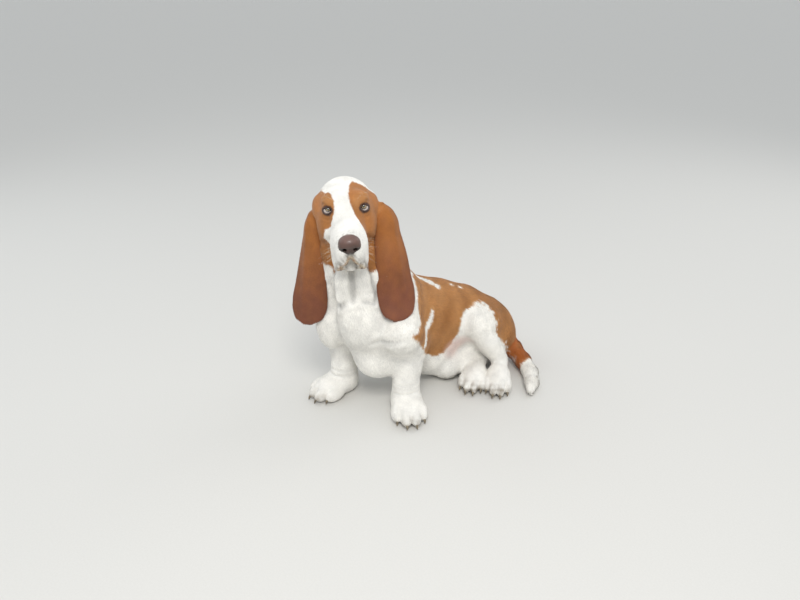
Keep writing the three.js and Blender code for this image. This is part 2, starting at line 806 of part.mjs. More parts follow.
const group = new THREE.Group();
const bounds = new THREE.Box3();
for (const [name, entry] of solids) {
  const geometry = geometryFrom(largest(entry.solid));
  const material = new THREE.MeshStandardMaterial({ color: entry.colour, roughness: 0.8, metalness: 0 });
  const mesh = new THREE.Mesh(geometry, material);
  mesh.name = name;
  group.add(mesh);
  geometry.computeBoundingBox();
  bounds.union(geometry.boundingBox);
}
group.position.set(-(bounds.min.x + bounds.max.x) / 2, -(bounds.min.y + bounds.max.y) / 2, -bounds.min.z);

export default group;
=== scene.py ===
"""A young basset hound at life size: skin, coat, eyes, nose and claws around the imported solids.

Shapes are worked out in millimetres in the solids' own frame and moved into the scene's frame by SHIFT.
"""

import json

import bpy
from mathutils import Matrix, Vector
import numpy as np

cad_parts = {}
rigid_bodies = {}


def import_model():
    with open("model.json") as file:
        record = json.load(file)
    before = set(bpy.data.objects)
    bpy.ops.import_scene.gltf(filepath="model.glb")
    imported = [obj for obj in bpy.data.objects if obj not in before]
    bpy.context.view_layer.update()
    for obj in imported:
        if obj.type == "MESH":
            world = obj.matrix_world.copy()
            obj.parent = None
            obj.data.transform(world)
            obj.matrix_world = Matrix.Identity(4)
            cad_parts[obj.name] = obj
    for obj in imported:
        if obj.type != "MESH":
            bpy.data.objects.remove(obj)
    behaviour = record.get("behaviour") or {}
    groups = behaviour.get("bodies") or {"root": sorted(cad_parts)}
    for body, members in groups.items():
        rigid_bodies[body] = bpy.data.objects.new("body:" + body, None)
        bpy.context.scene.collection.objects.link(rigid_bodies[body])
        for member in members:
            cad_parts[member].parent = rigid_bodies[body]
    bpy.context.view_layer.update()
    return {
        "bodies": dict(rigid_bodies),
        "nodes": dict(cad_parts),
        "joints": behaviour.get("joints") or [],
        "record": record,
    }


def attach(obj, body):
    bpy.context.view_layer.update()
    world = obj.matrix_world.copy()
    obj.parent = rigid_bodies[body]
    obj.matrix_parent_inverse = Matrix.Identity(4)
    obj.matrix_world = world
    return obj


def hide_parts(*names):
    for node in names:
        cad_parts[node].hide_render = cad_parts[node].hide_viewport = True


# Main sizes in millimetres, the same as the solids have
EYE_RADIUS = 11.4
LID_RADIUS = 13.6
EYE_SPREAD, EYE_FORWARD, EYE_UP = 35.5, -8.0, -6.0
CLAW_RADIUS = 3.4
EAR_THICKNESS, EAR_COAT = 3.6, 0.9
UP = np.array([0.0, 0.0, 1.0])
SIDES = (1, -1)  # left and right


def vec(*xyz):
    return np.array(xyz, float)


def unit(v):
    return v / np.maximum(np.linalg.norm(v, axis=-1, keepdims=True), 1e-9)


def heading(degrees):
    a = np.radians(degrees)
    return vec(np.sin(a), -np.cos(a), 0)


class Frame:
    """A placed frame: left, forward and up from an origin"""

    def __init__(self, origin, forward, roll=0.0):
        self.o = np.asarray(origin, float)
        self.f = unit(np.asarray(forward, float))
        left = unit(np.cross(UP, self.f))
        up = np.cross(self.f, left)
        r = np.radians(roll)
        self.l = left * np.cos(r) + up * np.sin(r)
        self.u = up * np.cos(r) - left * np.sin(r)
        self.rows = np.array([self.l, self.f, self.u])

    def at(self, l, f, u):
        return self.o + self.dir(l, f, u)

    def dir(self, l, f, u):
        return l * self.l + f * self.f + u * self.u

    def local(self, p):
        return (p - self.o) @ self.rows.T


def tilted(azimuth, pitch, roll, origin):
    p = np.radians(pitch)
    return Frame(origin, heading(azimuth) * np.cos(p) - UP * np.sin(p), roll)


HEAD = tilted(52, 14, 2.5, (-65, -185, 480))
CHEST = Frame((-78, -61, 0), heading(16))
WORLD = Frame((0, 0, 0), (0, -1, 0))


def blend_min(a, b, k):
    h = np.maximum(k - np.abs(a - b), 0) / k
    return np.minimum(a, b) - h * h * h * k / 6


def blend_max(a, b, k):
    return -blend_min(-a, -b, k)


class Piece:
    """A part of the body's field: its distance, the reach of its box, and how its hair lies"""

    def __init__(self, distance, low, high, blend, group, flow, hair):
        self.distance = distance
        self.low, self.high = low, high
        self.blend, self.group = blend, group
        self.flow, self.hair = unit(np.asarray(flow, float)), hair
        self.bends = None


def oval(frame, centre, radii, blend, group, flow, hair):
    c = frame.at(*centre)
    radii = np.asarray(radii, float)

    def distance(p):
        q = (p - c) @ frame.rows.T
        k0 = np.linalg.norm(q / radii, axis=1)
        k1 = np.linalg.norm(q / radii**2, axis=1)
        return k0 * (k0 - 1) / np.maximum(k1, 1e-9)

    reach = np.sqrt(((frame.rows * radii[:, None]) ** 2).sum(0))
    return Piece(distance, c - reach, c + reach, blend, group, flow, hair)


def limb(frame, nodes, across, blend, inner, group, hair, lean=(0, 0, 0), back=False):
    """A chain of flattened tapering segments. Hair runs along it, or back along it, with a lean."""
    side = frame.dir(*across)
    segments = []
    for a, b in zip(nodes[:-1], nodes[1:]):
        start, end = frame.at(*a[:3]), frame.at(*b[:3])
        run = end - start
        axis = unit(run)
        left = unit(side - axis * (side @ axis))
        segments.append((start, run, axis, left, np.cross(axis, left), a[3], b[3], a[4], b[4]))

    def distance(p):
        best = None
        for start, run, axis, left, up, l0, l1, u0, u1 in segments:
            q = p - start
            h = np.clip(q @ run / (run @ run), 0, 1)
            d = q - h[:, None] * run
            rl, ru = l0 + (l1 - l0) * h, u0 + (u1 - u0) * h
            n = np.sqrt((d @ left / rl) ** 2 + (d @ up / ru) ** 2 + (d @ axis * 2 / (rl + ru)) ** 2)
            reach = np.linalg.norm(d, axis=1)
            value = np.where(n > 1e-6, reach * (1 - 1 / np.maximum(n, 1e-6)), -np.minimum(rl, ru))
            best = value if best is None else blend_min(best, value, inner)
        return best

    ends = np.array([frame.at(*n[:3]) for n in nodes])
    size = np.array([max(n[3], n[4]) for n in nodes])[:, None]
    turn = -1 if back else 1
    flow = unit(ends[-1] - ends[0]) * turn + np.asarray(lean, float)
    piece = Piece(distance, (ends - size).min(0), (ends + size).max(0), blend, group, flow, hair)
    middles = (ends[1:] + ends[:-1]) / 2
    piece.bends = (middles, unit(np.diff(ends, axis=0)) * turn + np.asarray(lean, float))
    return piece


def node(point, width, height):
    return (point[0], -point[1], point[2], width, height)


def torso_pieces():
    spine = [
        (-54, 146, 218, 64, 68),
        (-70, 90, 196, 92, 106),
        (-76, -10, 158, 96, 98),
        (-62, -80, 138, 90, 92),
        (-38, -145, 121, 79, 80),
        (-3, -188, 96, 70, 71),
        (30, -217, 72, 46, 50),
    ]
    return [
        limb(WORLD, spine, (1, -0.3, 0), 35, 30, "torso", 11, lean=(0, 0, -0.5)),
        oval(CHEST, (0, -8, 252), (52, 80, 52), 35, "torso", -CHEST.f - 0.3 * UP, 12),
        oval(CHEST, (-4, 118, 244), (46, 36, 46), 30, "neck", -UP, 12),
        oval(CHEST, (-90, 98, 190), (34, 38, 66), 26, "torso", -UP, 10),
        oval(CHEST, (8, 40, 118), (62, 80, 62), 30, "torso", -UP - 0.5 * CHEST.f, 11),
        oval(WORLD, (-38, -38, 78), (63, 72, 70), 35, "torso", (0.1, 1, -0.5), 9),
    ]


def neck_pieces():
    nape = [
        node(CHEST.at(-4, 2, 250), 58, 68),
        node(CHEST.at(-8, 38, 325), 58, 70),
        node((-112, -120, 392), 54, 64),
        node(HEAD.at(0, -78, -30), 47, 45),
    ]
    dewlap = [
        node(HEAD.at(0, 6, -72), 25, 22),
        node(HEAD.at(0, -12, -118), 34, 28),
        node((-66, -174, 322), 42, 32),
        node(CHEST.at(-2, 104, 262), 46, 32),
    ]
    side = [
        (-34, -26, -62, 21, 26),
        (-38, -20, -112, 23, 28),
        (-42, -14, -170, 25, 30),
        (-44, -4, -228, 30, 32),
    ]
    lobes = []
    for s in SIDES:
        lobe = [(s * 13, 34, -98, 11, 11), (s * 21, 48, -140, 14, 14), (s * 28, 57, -182, 11, 10)]
        lobes.append(limb(HEAD, lobe, (1, 0, 0), 8, 10, "neck", 9))
    return [
        *lobes,
        limb(HEAD, side, (1, 0, 0), 22, 10, "neck", 9),
        limb(WORLD, nape, (0.961, -0.276, 0), 35, 30, "neck", 11, back=True),
        limb(WORLD, dewlap, (0.616, -0.788, 0), 25, 20, "neck", 10),
    ]


TOES = ((-28, 46, 12.5), (-10, 62, 13.5), (10, 62, 13.5), (28, 46, 12.5))  # side, reach, size


def paw_pieces(frame, wide, long, group):
    flow = frame.f - 0.5 * UP
    pieces = [oval(frame, (0, 24 * long, 23), (36 * wide, 48 * long, 26), 18, group, flow, 6)]
    for side, reach, size in TOES:
        radii = (size * wide, 25 * long, 18)
        pieces.append(oval(frame, (side * wide, reach * long, 17), radii, 6, group, flow, 4.5))
    return pieces


class Leg:
    def __init__(self, side, wide, long, **places):
        self.side, self.wide, self.long = side, wide, long
        self.__dict__.update(places)


FORE = {
    "left": Leg(1, 1.06, 1.12, wrist=vec(16, -96, 0), elbow=vec(0, -70, 150), turn=53),
    "right": Leg(-1, 1.06, 1.12, wrist=vec(-140, -147, 0), elbow=vec(-166, -122, 146), turn=-2),
}
HIND = {
    "left": Leg(1, 0.87, 1, ankle=vec(85, 166, 0), turn=34, sole=34),
    "right": Leg(-1, 0.86, 1, ankle=vec(34, 148, 0), turn=29, sole=46),
}
LEGS = (*FORE.values(), *HIND.values())
for leg in FORE.values():
    leg.paw = Frame(leg.wrist, heading(leg.turn))
for leg in HIND.values():
    leg.foot = Frame(leg.ankle, heading(leg.turn))
    leg.paw = Frame(leg.foot.at(0, leg.sole, 0), leg.foot.f)


def foreleg_pieces(leg, name):
    group = "foreleg_" + name
    shoulder = CHEST.at(leg.side * 82, 80, 205)
    wrist, heel = leg.wrist + 54 * UP, leg.wrist + 26 * UP
    middle = (leg.elbow + leg.wrist + 48 * UP) / 2
    blade = [node(CHEST.at(leg.side * 38, -10, 252), 33, 38), node(shoulder, 40, 46)]
    upper = [node(shoulder, 46, 42), node(leg.elbow, 42, 46)]
    fore = [node(leg.elbow, 38, 46), node(middle, 34, 36), node(wrist, 30, 31), node(heel, 35, 35)]
    return [
        limb(WORLD, blade, (0.276, 0.961, 0), 32, 10, "torso", 11, lean=(0, 0, -0.5)),
        limb(WORLD, upper, (0.276, 0.961, 0), 34, 10, "torso", 10),
        limb(WORLD, fore, (0.961, -0.276, 0), 26, 15, group, 8),
        *paw_pieces(leg.paw, leg.wide, leg.long, "forepaw_" + name),
    ]


def foot_pieces(leg, name):
    sole = [(0, -22, 22, 19, 23), (0, 42, 22, 23, 23)]
    group = "hindpaw_" + name
    return [
        limb(leg.foot, sole, (1, 0, 0), 15, 10, group, 6),
        *paw_pieces(leg.paw, leg.wide, 1, group),
    ]


def left_hind_pieces():
    hip, knee, ankle = vec(10, 190, 118), vec(31, 119, 138), vec(83, 165, 40)
    thigh = (hip + knee) / 2 + vec(3, -2, 2)
    shank = (knee + ankle) / 2 + vec(2, 4, 0)
    upper = [node(hip, 50, 66), node(thigh, 46, 56), node(knee, 33, 38)]
    lower = [node(knee, 33, 34), node(shank, 29, 34), node(ankle, 22, 25)]
    return [
        limb(WORLD, upper, (0, 0, 1), 26, 20, "hindleg_left", 10, lean=(0.2, 0, -1.6)),
        limb(WORLD, lower, (0, 0, 1), 22, 18, "hindleg_left", 8),
        oval(WORLD, (42, -204, 80), (40, 50, 58), 33, "torso", (0.5, 0.5, -1), 12),
        *foot_pieces(HIND["left"], "left"),
    ]


def right_thigh_pieces():
    thigh = [(-30, -190, 58, 48, 59), (-14, -120, 45, 38, 47), (4, -56, 33, 31, 36)]
    return [limb(WORLD, thigh, (0, 0, 1), 28, 20, "hindleg_right", 9)]


def right_foot_pieces():
    shank = [(4, -56, 32, 29, 31), (36, -150, 32, 22, 24)]
    return [
        limb(WORLD, shank, (0, 0, 1), 14, 10, "hindleg_right", 7),
        *foot_pieces(HIND["right"], "right"),
    ]


def tail_pieces():
    bones = [
        (43, -224, 66, 27, 27),
        (74, -233, 38, 23, 23),
        (114, -222, 24, 20, 20),
        (155, -197, 19, 19, 19),
        (182, -165, 17, 17, 17),
        (195, -143, 12, 11, 11),
    ]
    return [limb(WORLD, bones, (0, 0, 1), 15, 15, "tail", 14)]


def head_pieces():
    back, down = -HEAD.f, -HEAD.u
    pieces = [
        oval(HEAD, (0, -60, -24), (57, 72, 40), 22, "head", back, 5),
        oval(HEAD, (0, -24, -12), (44, 50, 33), 22, "head", back + 0.3 * HEAD.u, 4.5),
    ]
    for s in SIDES:
        lip = [(s * 16, 20, -42, 21, 30), (s * 17, 60, -47, 20, 34), (s * 15, 88, -46, 15, 28)]
        muzzle = limb(HEAD, lip, (1, 0, 0), 18, 10, "head", 4.5, back=True, lean=down * 0.8)
        pieces += [
            oval(HEAD, (s * 30, -20, 9), (18, 20, 12), 18, "head", back + 0.4 * s * HEAD.l, 4.5),
            oval(HEAD, (s * 37, -26, -50), (25, 50, 40), 25, "head", back + 0.9 * down, 6),
            muzzle,
            oval(HEAD, (s * 24, 56, -77), (14, 37, 26), 14, "head", down + 0.4 * back, 5),
            oval(HEAD, (s * 54, -62, -34), (16, 34, 22), 18, "head", back + down, 6),
        ]
    bridge = [(0, 0, -20, 29, 25), (0, 50, -23, 23, 21), (0, 88, -25, 19, 18)]
    pieces += [
        limb(HEAD, bridge, (1, 0, 0), 18, 10, "head", 3.5, back=True),
        oval(HEAD, (0, 58, -88), (24, 30, 14), 12, "head", down + back, 5),
        oval(HEAD, (0, -24, -80), (38, 50, 28), 25, "head", down + back, 8),
    ]
    for s in SIDES:
        centre, lie = (s * EYE_SPREAD, EYE_FORWARD, EYE_UP), back + 0.3 * s * HEAD.l
        pieces.append(oval(HEAD, centre, (LID_RADIUS, 13.4, 13.4), 6, "head", lie, 3))
    return pieces


MAIN = [
    *torso_pieces(),
    *neck_pieces(),
    *foreleg_pieces(FORE["left"], "left"),
    *foreleg_pieces(FORE["right"], "right"),
    *left_hind_pieces(),
    *right_thigh_pieces(),
    *tail_pieces(),
    *head_pieces(),
]
RIGHT_FOOT = right_foot_pieces()


FAR = 1000.0  # the field's value where no piece is near
MARGIN = 18.0  # how far past its box and blend a piece is still worked out


def in_box(p, low, high, room=0.0):
    """The numbers of the points in a box with that much room round it"""
    return np.flatnonzero(((p > low - room) & (p < high + room)).all(1))


def joined(pieces, p):
    value = np.full(len(p), FAR)
    for piece in pieces:
        near = in_box(p, piece.low, piece.high, piece.blend + MARGIN)
        if len(near):
            value[near] = blend_min(value[near], piece.distance(p[near]), piece.blend)
    return value


# Ears. A row is height, x, y, half width, turn of the broad face in degrees.
EARS = {
    1: [
        (465, -66, -92, 11, 30),
        (456, -56, -91, 19, 30),
        (440, -46, -92, 26, 28),
        (405, -33, -98, 31, 26),
        (369, -13, -108, 36, 24),
        (323, -2, -112, 40, 22),
        (288, 9, -116, 42, 20),
        (267, 17, -121, 38, 18),
        (254, 25, -127, 28, 16),
        (248, 29, -130, 14, 16),
    ],
    -1: [
        (457, -152, -178, 11, 40),
        (448, -160, -187, 17, 38),
        (430, -161, -198, 22, 36),
        (393, -155, -208, 27, 30),
        (347, -149, -217, 33, 24),
        (298, -147, -225, 37, 18),
        (258, -147, -230, 41, 14),
        (230, -148, -233, 37, 12),
        (214, -149, -235, 27, 12),
        (207, -150, -236, 14, 12),
    ],
}


EAR_ROWS = 90
EAR_END = 4.0  # how far an ear is rounded off past its first and last row


def smooth_rows(rows):
    """The rows at even heights, with their measures eased between them"""
    rows = np.array(rows[::-1], float)
    share = np.linspace(1, 0, len(rows))
    rows = np.column_stack([rows, share])
    heights = np.linspace(rows[0, 0], rows[-1, 0], EAR_ROWS)
    slopes = np.gradient(rows, rows[:, 0], axis=0)
    i = np.clip(np.searchsorted(rows[:, 0], heights) - 1, 0, len(rows) - 2)
    gap = (rows[i + 1, 0] - rows[i, 0])[:, None]
    t = (heights[:, None] - rows[i, :1]) / gap
    a, b = rows[i], rows[i + 1]
    sa, sb = slopes[i] * gap, slopes[i + 1] * gap
    return a + sa * t + (3 * (b - a) - 2 * sa - sb) * t**2 + (2 * (a - b) + sa + sb) * t**3


EAR_TABLES = {side: smooth_rows(rows) for side, rows in EARS.items()}


def ear_axis(side, turn):
    """The direction across an ear, on the level"""
    a = np.radians(45 + (180 if side < 0 else 0) + side * turn)
    return np.cos(a), np.sin(a)


def ear_curl(w, half, share):
    return (0.36 * (1 - share) + 0.1) * half * (0.35 - (w / half) ** 2)


def ear_thickness(share):
    return EAR_THICKNESS * (1.5 - 0.6 * share)


def ear_place(side, p):
    """Where points lie on an ear: across it, off its face, the share of the way down it,
    the half width there, and the height past an end"""
    table = EAR_TABLES[side]
    z = np.clip(p[:, 2], table[0, 0], table[-1, 0])
    x, y, half, turn, share = (np.interp(z, table[:, 0], table[:, i]) for i in range(1, 6))
    ax, ay = ear_axis(side, turn)
    qx, qy = p[:, 0] - x, p[:, 1] - y
    w = qx * ax + qy * ay
    off = (qx * ay - qy * ax) * side
    return w, off - ear_curl(w, half, share), share, half, p[:, 2] - z


def ear_distance(side, p, thinner):
    w, off, share, half, past = ear_place(side, p)
    thick = ear_thickness(share) - thinner
    half = half - thinner
    n0 = np.sqrt((w / half) ** 2 + (off / thick) ** 2 + (past / EAR_END) ** 2)
    n1 = np.sqrt((w / half**2) ** 2 + (off / thick**2) ** 2 + (past / EAR_END**2) ** 2)
    return n0 * (n0 - 1) / np.maximum(n1, 1e-9)


def body(p):
    return blend_min(joined(MAIN, p), joined(RIGHT_FOOT, p), 8)


def smoothstep(low, high, x):
    t = np.clip((x - low) / (high - low), 0, 1)
    return t * t * (3 - 2 * t)


def ripple(p, size, seed):
    """Smooth noise about zero, with features of that size in millimetres"""
    waves = np.random.default_rng(seed)
    total = np.zeros(len(p))
    for i in range(7):
        direction = unit(waves.normal(size=3)) * (2 * np.pi / (size * (0.7 + 0.16 * i)))
        total += np.sin(p @ direction + waves.random() * 2 * np.pi)
    return total / 2.6


def path_distance(p, path):
    """Distance from each point to a chain of points, and the share of the way along it"""
    path = np.asarray(path, float)
    best = np.full(len(p), 1e9)
    share = np.zeros(len(p))
    for i, (a, b) in enumerate(zip(path[:-1], path[1:])):
        run = b - a
        h = np.clip((p - a) @ run / (run @ run), 0, 1)
        d = np.linalg.norm(p - a - h[:, None] * run, axis=1)
        closer = d < best
        best[closer] = d[closer]
        share[closer] = ((i + h) / (len(path) - 1))[closer]
    return best, share


def eased(path, count=4):
    """A rounder path through the same points"""
    p = np.asarray(path, float)
    p = np.vstack([2 * p[0] - p[1], p, 2 * p[-1] - p[-2]])
    t = np.linspace(0, 1, count, endpoint=False)[:, None]
    parts = []
    for a, b, c, d in zip(p[:-3], p[1:-2], p[2:-1], p[3:]):
        square, cube = 2 * a - 5 * b + 4 * c - d, 3 * b - a - 3 * c + d
        parts.append(0.5 * (2 * b + (c - a) * t + square * t**2 + cube * t**3))
    return np.vstack([*parts, p[-2:-1]])


# The head's features, in the head's own frame
def eye_centre(side):
    return HEAD.at(side * EYE_SPREAD, EYE_FORWARD, EYE_UP)


def eye_frame(side):
    return Frame(eye_centre(side), HEAD.dir(side * 0.16, 1, 0.42), 2.5)


EYES = {side: eye_frame(side) for side in SIDES}
OPENING = (9.0, 6.4, 7.2)  # half width, rise and drop of the opening between the lids


def lid_opening(side, p):
    """How far a point is outside the opening between the lids, seen from the front"""
    q = EYES[side].local(p)
    across = side * q[:, 0]
    rise = q[:, 2] + across * 0.06
    tall = np.where(rise > 0, OPENING[1], OPENING[2])
    n = np.sqrt((across / OPENING[0]) ** 2 + (np.abs(rise) / tall) ** 1.6)
    return (n - 1) * 6.5, q[:, 1]


MOUTH = [
    (0, 105, -50), (4, 104, -57), (11, 99, -68), (20, 90, -84), (26, 72, -98), (27, 48, -102),
    (27, 22, -97),
]
MOUTHS = {side: eased([HEAD.at(side * l, f, u) for l, f, u in MOUTH]) for side in SIDES}
PHILTRUM = np.array([HEAD.at(0, 108, -36), HEAD.at(0, 107, -43), HEAD.at(0, 105, -50)])


def nose_distance(p, grow=0.0):
    pieces = [
        ((0, 94, -15), (20.5, 16, 12.5), 6),
        ((0, 97, -28), (13.5, 12, 10.5), 8),
        ((12, 96, -22), (9.5, 11, 10.5), 6),
        ((-12, 96, -22), (9.5, 11, 10.5), 6),
    ]
    value = np.full(len(p), 1000.0)
    for centre, radii, blend in pieces:
        piece = oval(HEAD, centre, np.add(radii, grow), blend, "", UP, 0)
        value = blend_min(value, piece.distance(p), blend)
    return value


def crease_list():
    """Folds of the skin: path, half width and depth, each a furrow between two soft rolls"""
    creases = []

    def on_head(width, depth, *places):
        creases.append(([HEAD.at(*q) for q in places], width, depth))

    for s in SIDES:
        e = EYES[s]
        for rise, width, depth in ((12.5, 2.0, 0.9), (20, 2.6, 0.7)):
            arch = [
                e.at(s * x, 9 - x * x * 0.016 - rise * 0.3, rise + 2 - x * x * 0.03)
                for x in (-13, -5, 4, 13)
            ]
            creases.append((arch, width, depth))
        for drop, width, depth in ((12, 2.2, 1.2), (18, 2.8, 1.0)):
            bag = [e.at(s * x, 10 - x * x * 0.016, -drop + x * x * 0.03) for x in (-14, -5, 5, 14)]
            creases.append((bag, width, depth))
        on_head(4.0, 1.4, (s * 36, 34, -48), (s * 42, 14, -62), (s * 46, -8, -82), (s * 44, -24, -100))
        on_head(3.5, 1.2, (s * 33, 46, -36), (s * 36, 30, -58), (s * 36, 20, -80))
        dewlap = ((31, 32, -104), (38, 48, -145), (41, 54, -185), (32, 62, -206), (16, 66, -196))
        on_head(5.0, 4.0, *[(s * l, f, u) for l, f, u in dewlap])
    on_head(6.0, 6.0, (0, 34, -104), (0, 52, -130), (0, 62, -160), (0, 66, -190))
    creases.append(([(-5, -181, 189), (22, -166, 199), (47, -158, 206), (62, -146, 212)], 6.0, 2.0))
    wrists = (
        ("left", 45, 3, ((52, 0.0), (60, 0.3), (69, -0.2))),
        ("right", 30, 0, ((50, 0.0), (60, 0.0))),
    )
    for name, facing, wave, rings in wrists:
        leg = FORE[name]
        for z, turn in rings:
            wrist = leg.wrist * (1 - z / 150) + leg.elbow * (z / 150)
            ring = []
            for a in (-60, -20, 20, 60):
                height = z + wave * np.sin(a / 30 + turn)
                ring.append(wrist + 33 * heading(facing + a) + vec(0, 0, height - wrist[2]))
            creases.append((ring, 3.0, 0.9))
    return creases


def folds(p):
    """How far the folds push the skin in"""
    total = np.zeros(len(p))
    for path, width, depth in CREASES:
        near = in_box(p, path.min(0), path.max(0), width * 4)
        if len(near):
            d, share = path_distance(p[near], path)
            fade = np.sin(np.pi * np.clip(share * 0.9 + 0.05, 0, 1)) ** 0.5
            furrow = np.exp(-((d / width) ** 2)) - 0.45 * np.exp(-(((d - 2.2 * width) / width) ** 2))
            total[near] += depth * fade * furrow
    return total


def coat_depth(p):
    """How deep the skin lies under the tips of the coat"""
    head = 1 - smoothstep(95, 150, np.linalg.norm(p - HEAD.at(0, 0, -30), axis=1))
    feet = 1 - smoothstep(45, 90, p[:, 2])
    return 2.7 - 1.2 * np.maximum(head, feet)


def skin_distance(p, fine=True):
    """The skin's field, with its folds unless only the plain form is wanted"""
    value = body(p) + coat_depth(p)
    for side in SIDES:
        table = EAR_TABLES[side]
        low, high = table[:, :3].min(0)[[1, 2, 0]], table[:, :3].max(0)[[1, 2, 0]]
        near = in_box(p, low, high, vec(60, 60, 14))
        if len(near):
            q = p[near]
            share = ear_place(side, q)[2]
            root = ear_distance(side, q, EAR_COAT) + 7 * smoothstep(0.1, 0.3, share)
            value[near] = blend_min(value[near], root, 12)
    head = np.flatnonzero(np.linalg.norm(p - HEAD.at(0, 40, -30), axis=1) < 130)
    if len(head):
        q = p[head]
        v = value[head]
        v = blend_max(v, -nose_distance(q, 0.4), 1.2)
        for side in SIDES:
            out, depth = lid_opening(side, q)
            v = blend_max(v, -np.maximum(out, 3 - depth), 1.6)
            v = blend_max(v, 1.7 - path_distance(q, MOUTHS[side])[0], 2.0)
        v = blend_max(v, 1.2 - path_distance(q, PHILTRUM)[0], 1.5)
        value[head] = v
    if fine:
        value = value + folds(p)
    return np.maximum(value, 0.6 - p[:, 2])


# Meshing: a net over a grid near the surface, then finer triangles where the form is fine
PACK = 4  # cells along a side of the blocks that are tried first


def grid_values(field, low, high, step):
    def spread(blocks):
        return blocks.repeat(PACK, 0).repeat(PACK, 1).repeat(PACK, 2)

    count = np.ceil((high - low) / (step * PACK)).astype(int)
    starts = [low[i] + step * PACK * np.arange(count[i]) for i in range(3)]
    middle = (PACK - 1) / 2 * step
    centres = np.stack(np.meshgrid(*[s + middle for s in starts], indexing="ij"), -1).reshape(-1, 3)
    rough = field(centres).reshape(count)
    values = spread(rough)
    busy = spread(np.abs(rough) < step * PACK * 1.9)
    values[busy] = field(low + np.argwhere(busy) * step)
    return values


def net(values, low, step):
    """Surface net: one point in each cell that the surface crosses, and triangles between them"""
    inside = values < 0
    cells = np.array(values.shape) - 1
    total = sum(
        inside[i : cells[0] + i, j : cells[1] + j, k : cells[2] + k].astype(int)
        for i, j, k in np.ndindex(2, 2, 2)
    )
    crossed = (total > 0) & (total < 8)
    index = np.argwhere(crossed)
    number = -np.ones(crossed.shape, int)
    number[crossed] = np.arange(len(index))
    place = np.zeros((len(index), 3))
    hits = np.zeros(len(index))
    axes = np.eye(3, dtype=int)
    for axis, along in enumerate(axes):
        others = np.delete(axes, axis, 0)
        for u in (0, 1):
            for v in (0, 1):
                a = index + u * others[0] + v * others[1]
                b = a + along
                fa, fb = values[tuple(a.T)], values[tuple(b.T)]
                cross = (fa < 0) != (fb < 0)
                t = np.where(cross, fa / np.where(cross, fa - fb, 1), 0)
                place[cross] += (a + along * t[:, None])[cross]
                hits[cross] += 1
    points = place / hits[:, None] * step + low
    quads = []
    for axis in range(3):
        b, c = [(1, 2), (2, 0), (0, 1)][axis]
        first = [slice(None)] * 3
        second = [slice(None)] * 3
        first[axis], second[axis] = slice(0, -1), slice(1, None)
        cross = np.argwhere(inside[tuple(first)] != inside[tuple(second)])
        room = [(cross[:, i] > 0) & (cross[:, i] < values.shape[i] - 1) for i in (b, c)]
        cross = cross[room[0] & room[1]]
        ring = []
        for db, dc in ((-1, -1), (0, -1), (0, 0), (-1, 0)):
            q = cross.copy()
            q[:, b] += db
            q[:, c] += dc
            ring.append(number[tuple(q.T)])
        ring = np.stack(ring, 1)
        outward = inside[tuple(cross.T)]
        ring[~outward] = ring[~outward][:, ::-1]
        quads.append(ring)
    quads = np.vstack(quads)
    return points, np.vstack([quads[:, [0, 1, 2]], quads[:, [0, 2, 3]]])


def slopes(field, p, e=0.35):
    corners = np.array([(1, -1, -1), (-1, -1, 1), (-1, 1, -1), (1, 1, 1)], float)
    total = np.zeros_like(p)
    middle = np.zeros(len(p))
    for c in corners:
        value = field(p + c * e)
        total += value[:, None] * c
        middle += value
    return total / (4 * e), middle / 4


def settle(field, p, step, rounds):
    """Moves each point to where the field is zero"""
    for _ in range(rounds):
        slope, value = slopes(field, p)
        square = np.maximum((slope**2).sum(1), 0.2)
        move = np.clip(-value / square, -step, step)
        p = p + slope * move[:, None]
    return p


def plain_skin(p):
    return skin_distance(p, False)


CREASES = [(settle(plain_skin, eased(path), 8, 5), *shape) for path, *shape in crease_list()]


def relaxed(points, faces, amount=0.4):
    edges = faces[:, [0, 1, 1, 2, 2, 0]].reshape(-1, 2)
    total = np.zeros_like(points)
    count = np.bincount(edges[:, 0], minlength=len(points)).astype(float)
    for axis in range(3):
        total[:, axis] = np.bincount(edges[:, 0], points[edges[:, 1], axis], len(points))
    return points + (total / np.maximum(count, 1)[:, None] - points) * amount


def refined(points, faces, size):
    """Splits each edge that is longer than the size wanted where it lies"""
    pairs = np.sort(faces[:, [0, 1, 1, 2, 2, 0]].reshape(-1, 2), 1)
    key = pairs[:, 0] * len(points) + pairs[:, 1]
    _, first, back = np.unique(key, return_index=True, return_inverse=True)
    ends = pairs[first]
    middle = points[ends].mean(1)
    long = np.linalg.norm(points[ends[:, 0]] - points[ends[:, 1]], axis=1) > size(middle)
    number = np.full(len(ends), -1)
    number[long] = len(points) + np.arange(long.sum())
    cut = number[back].reshape(-1, 3)
    count = (cut >= 0).sum(1)
    out = [faces[count == 0]]
    whole = count == 3
    (a, b, c), (x, y, z) = faces[whole].T, cut[whole].T
    out += [np.stack(t, 1) for t in ((a, x, z), (x, b, y), (z, y, c), (x, y, z))]
    for turn in range(3):
        order = [turn, (turn + 1) % 3, (turn + 2) % 3]
        f, m = faces[:, order], cut[:, order]
        one = (count == 1) & (m[:, 0] >= 0)
        (a, b, c), x = f[one].T, m[one, 0]
        out += [np.stack(t, 1) for t in ((a, x, c), (x, b, c))]
        two = (count == 2) & (m[:, 2] < 0)
        (a, b, c), x, y = f[two].T, m[two, 0], m[two, 1]
        out += [np.stack(t, 1) for t in ((x, b, y), (a, x, y), (a, y, c))]
    return np.vstack([points, middle[long]]), np.vstack(out)


COARSE = 9.0


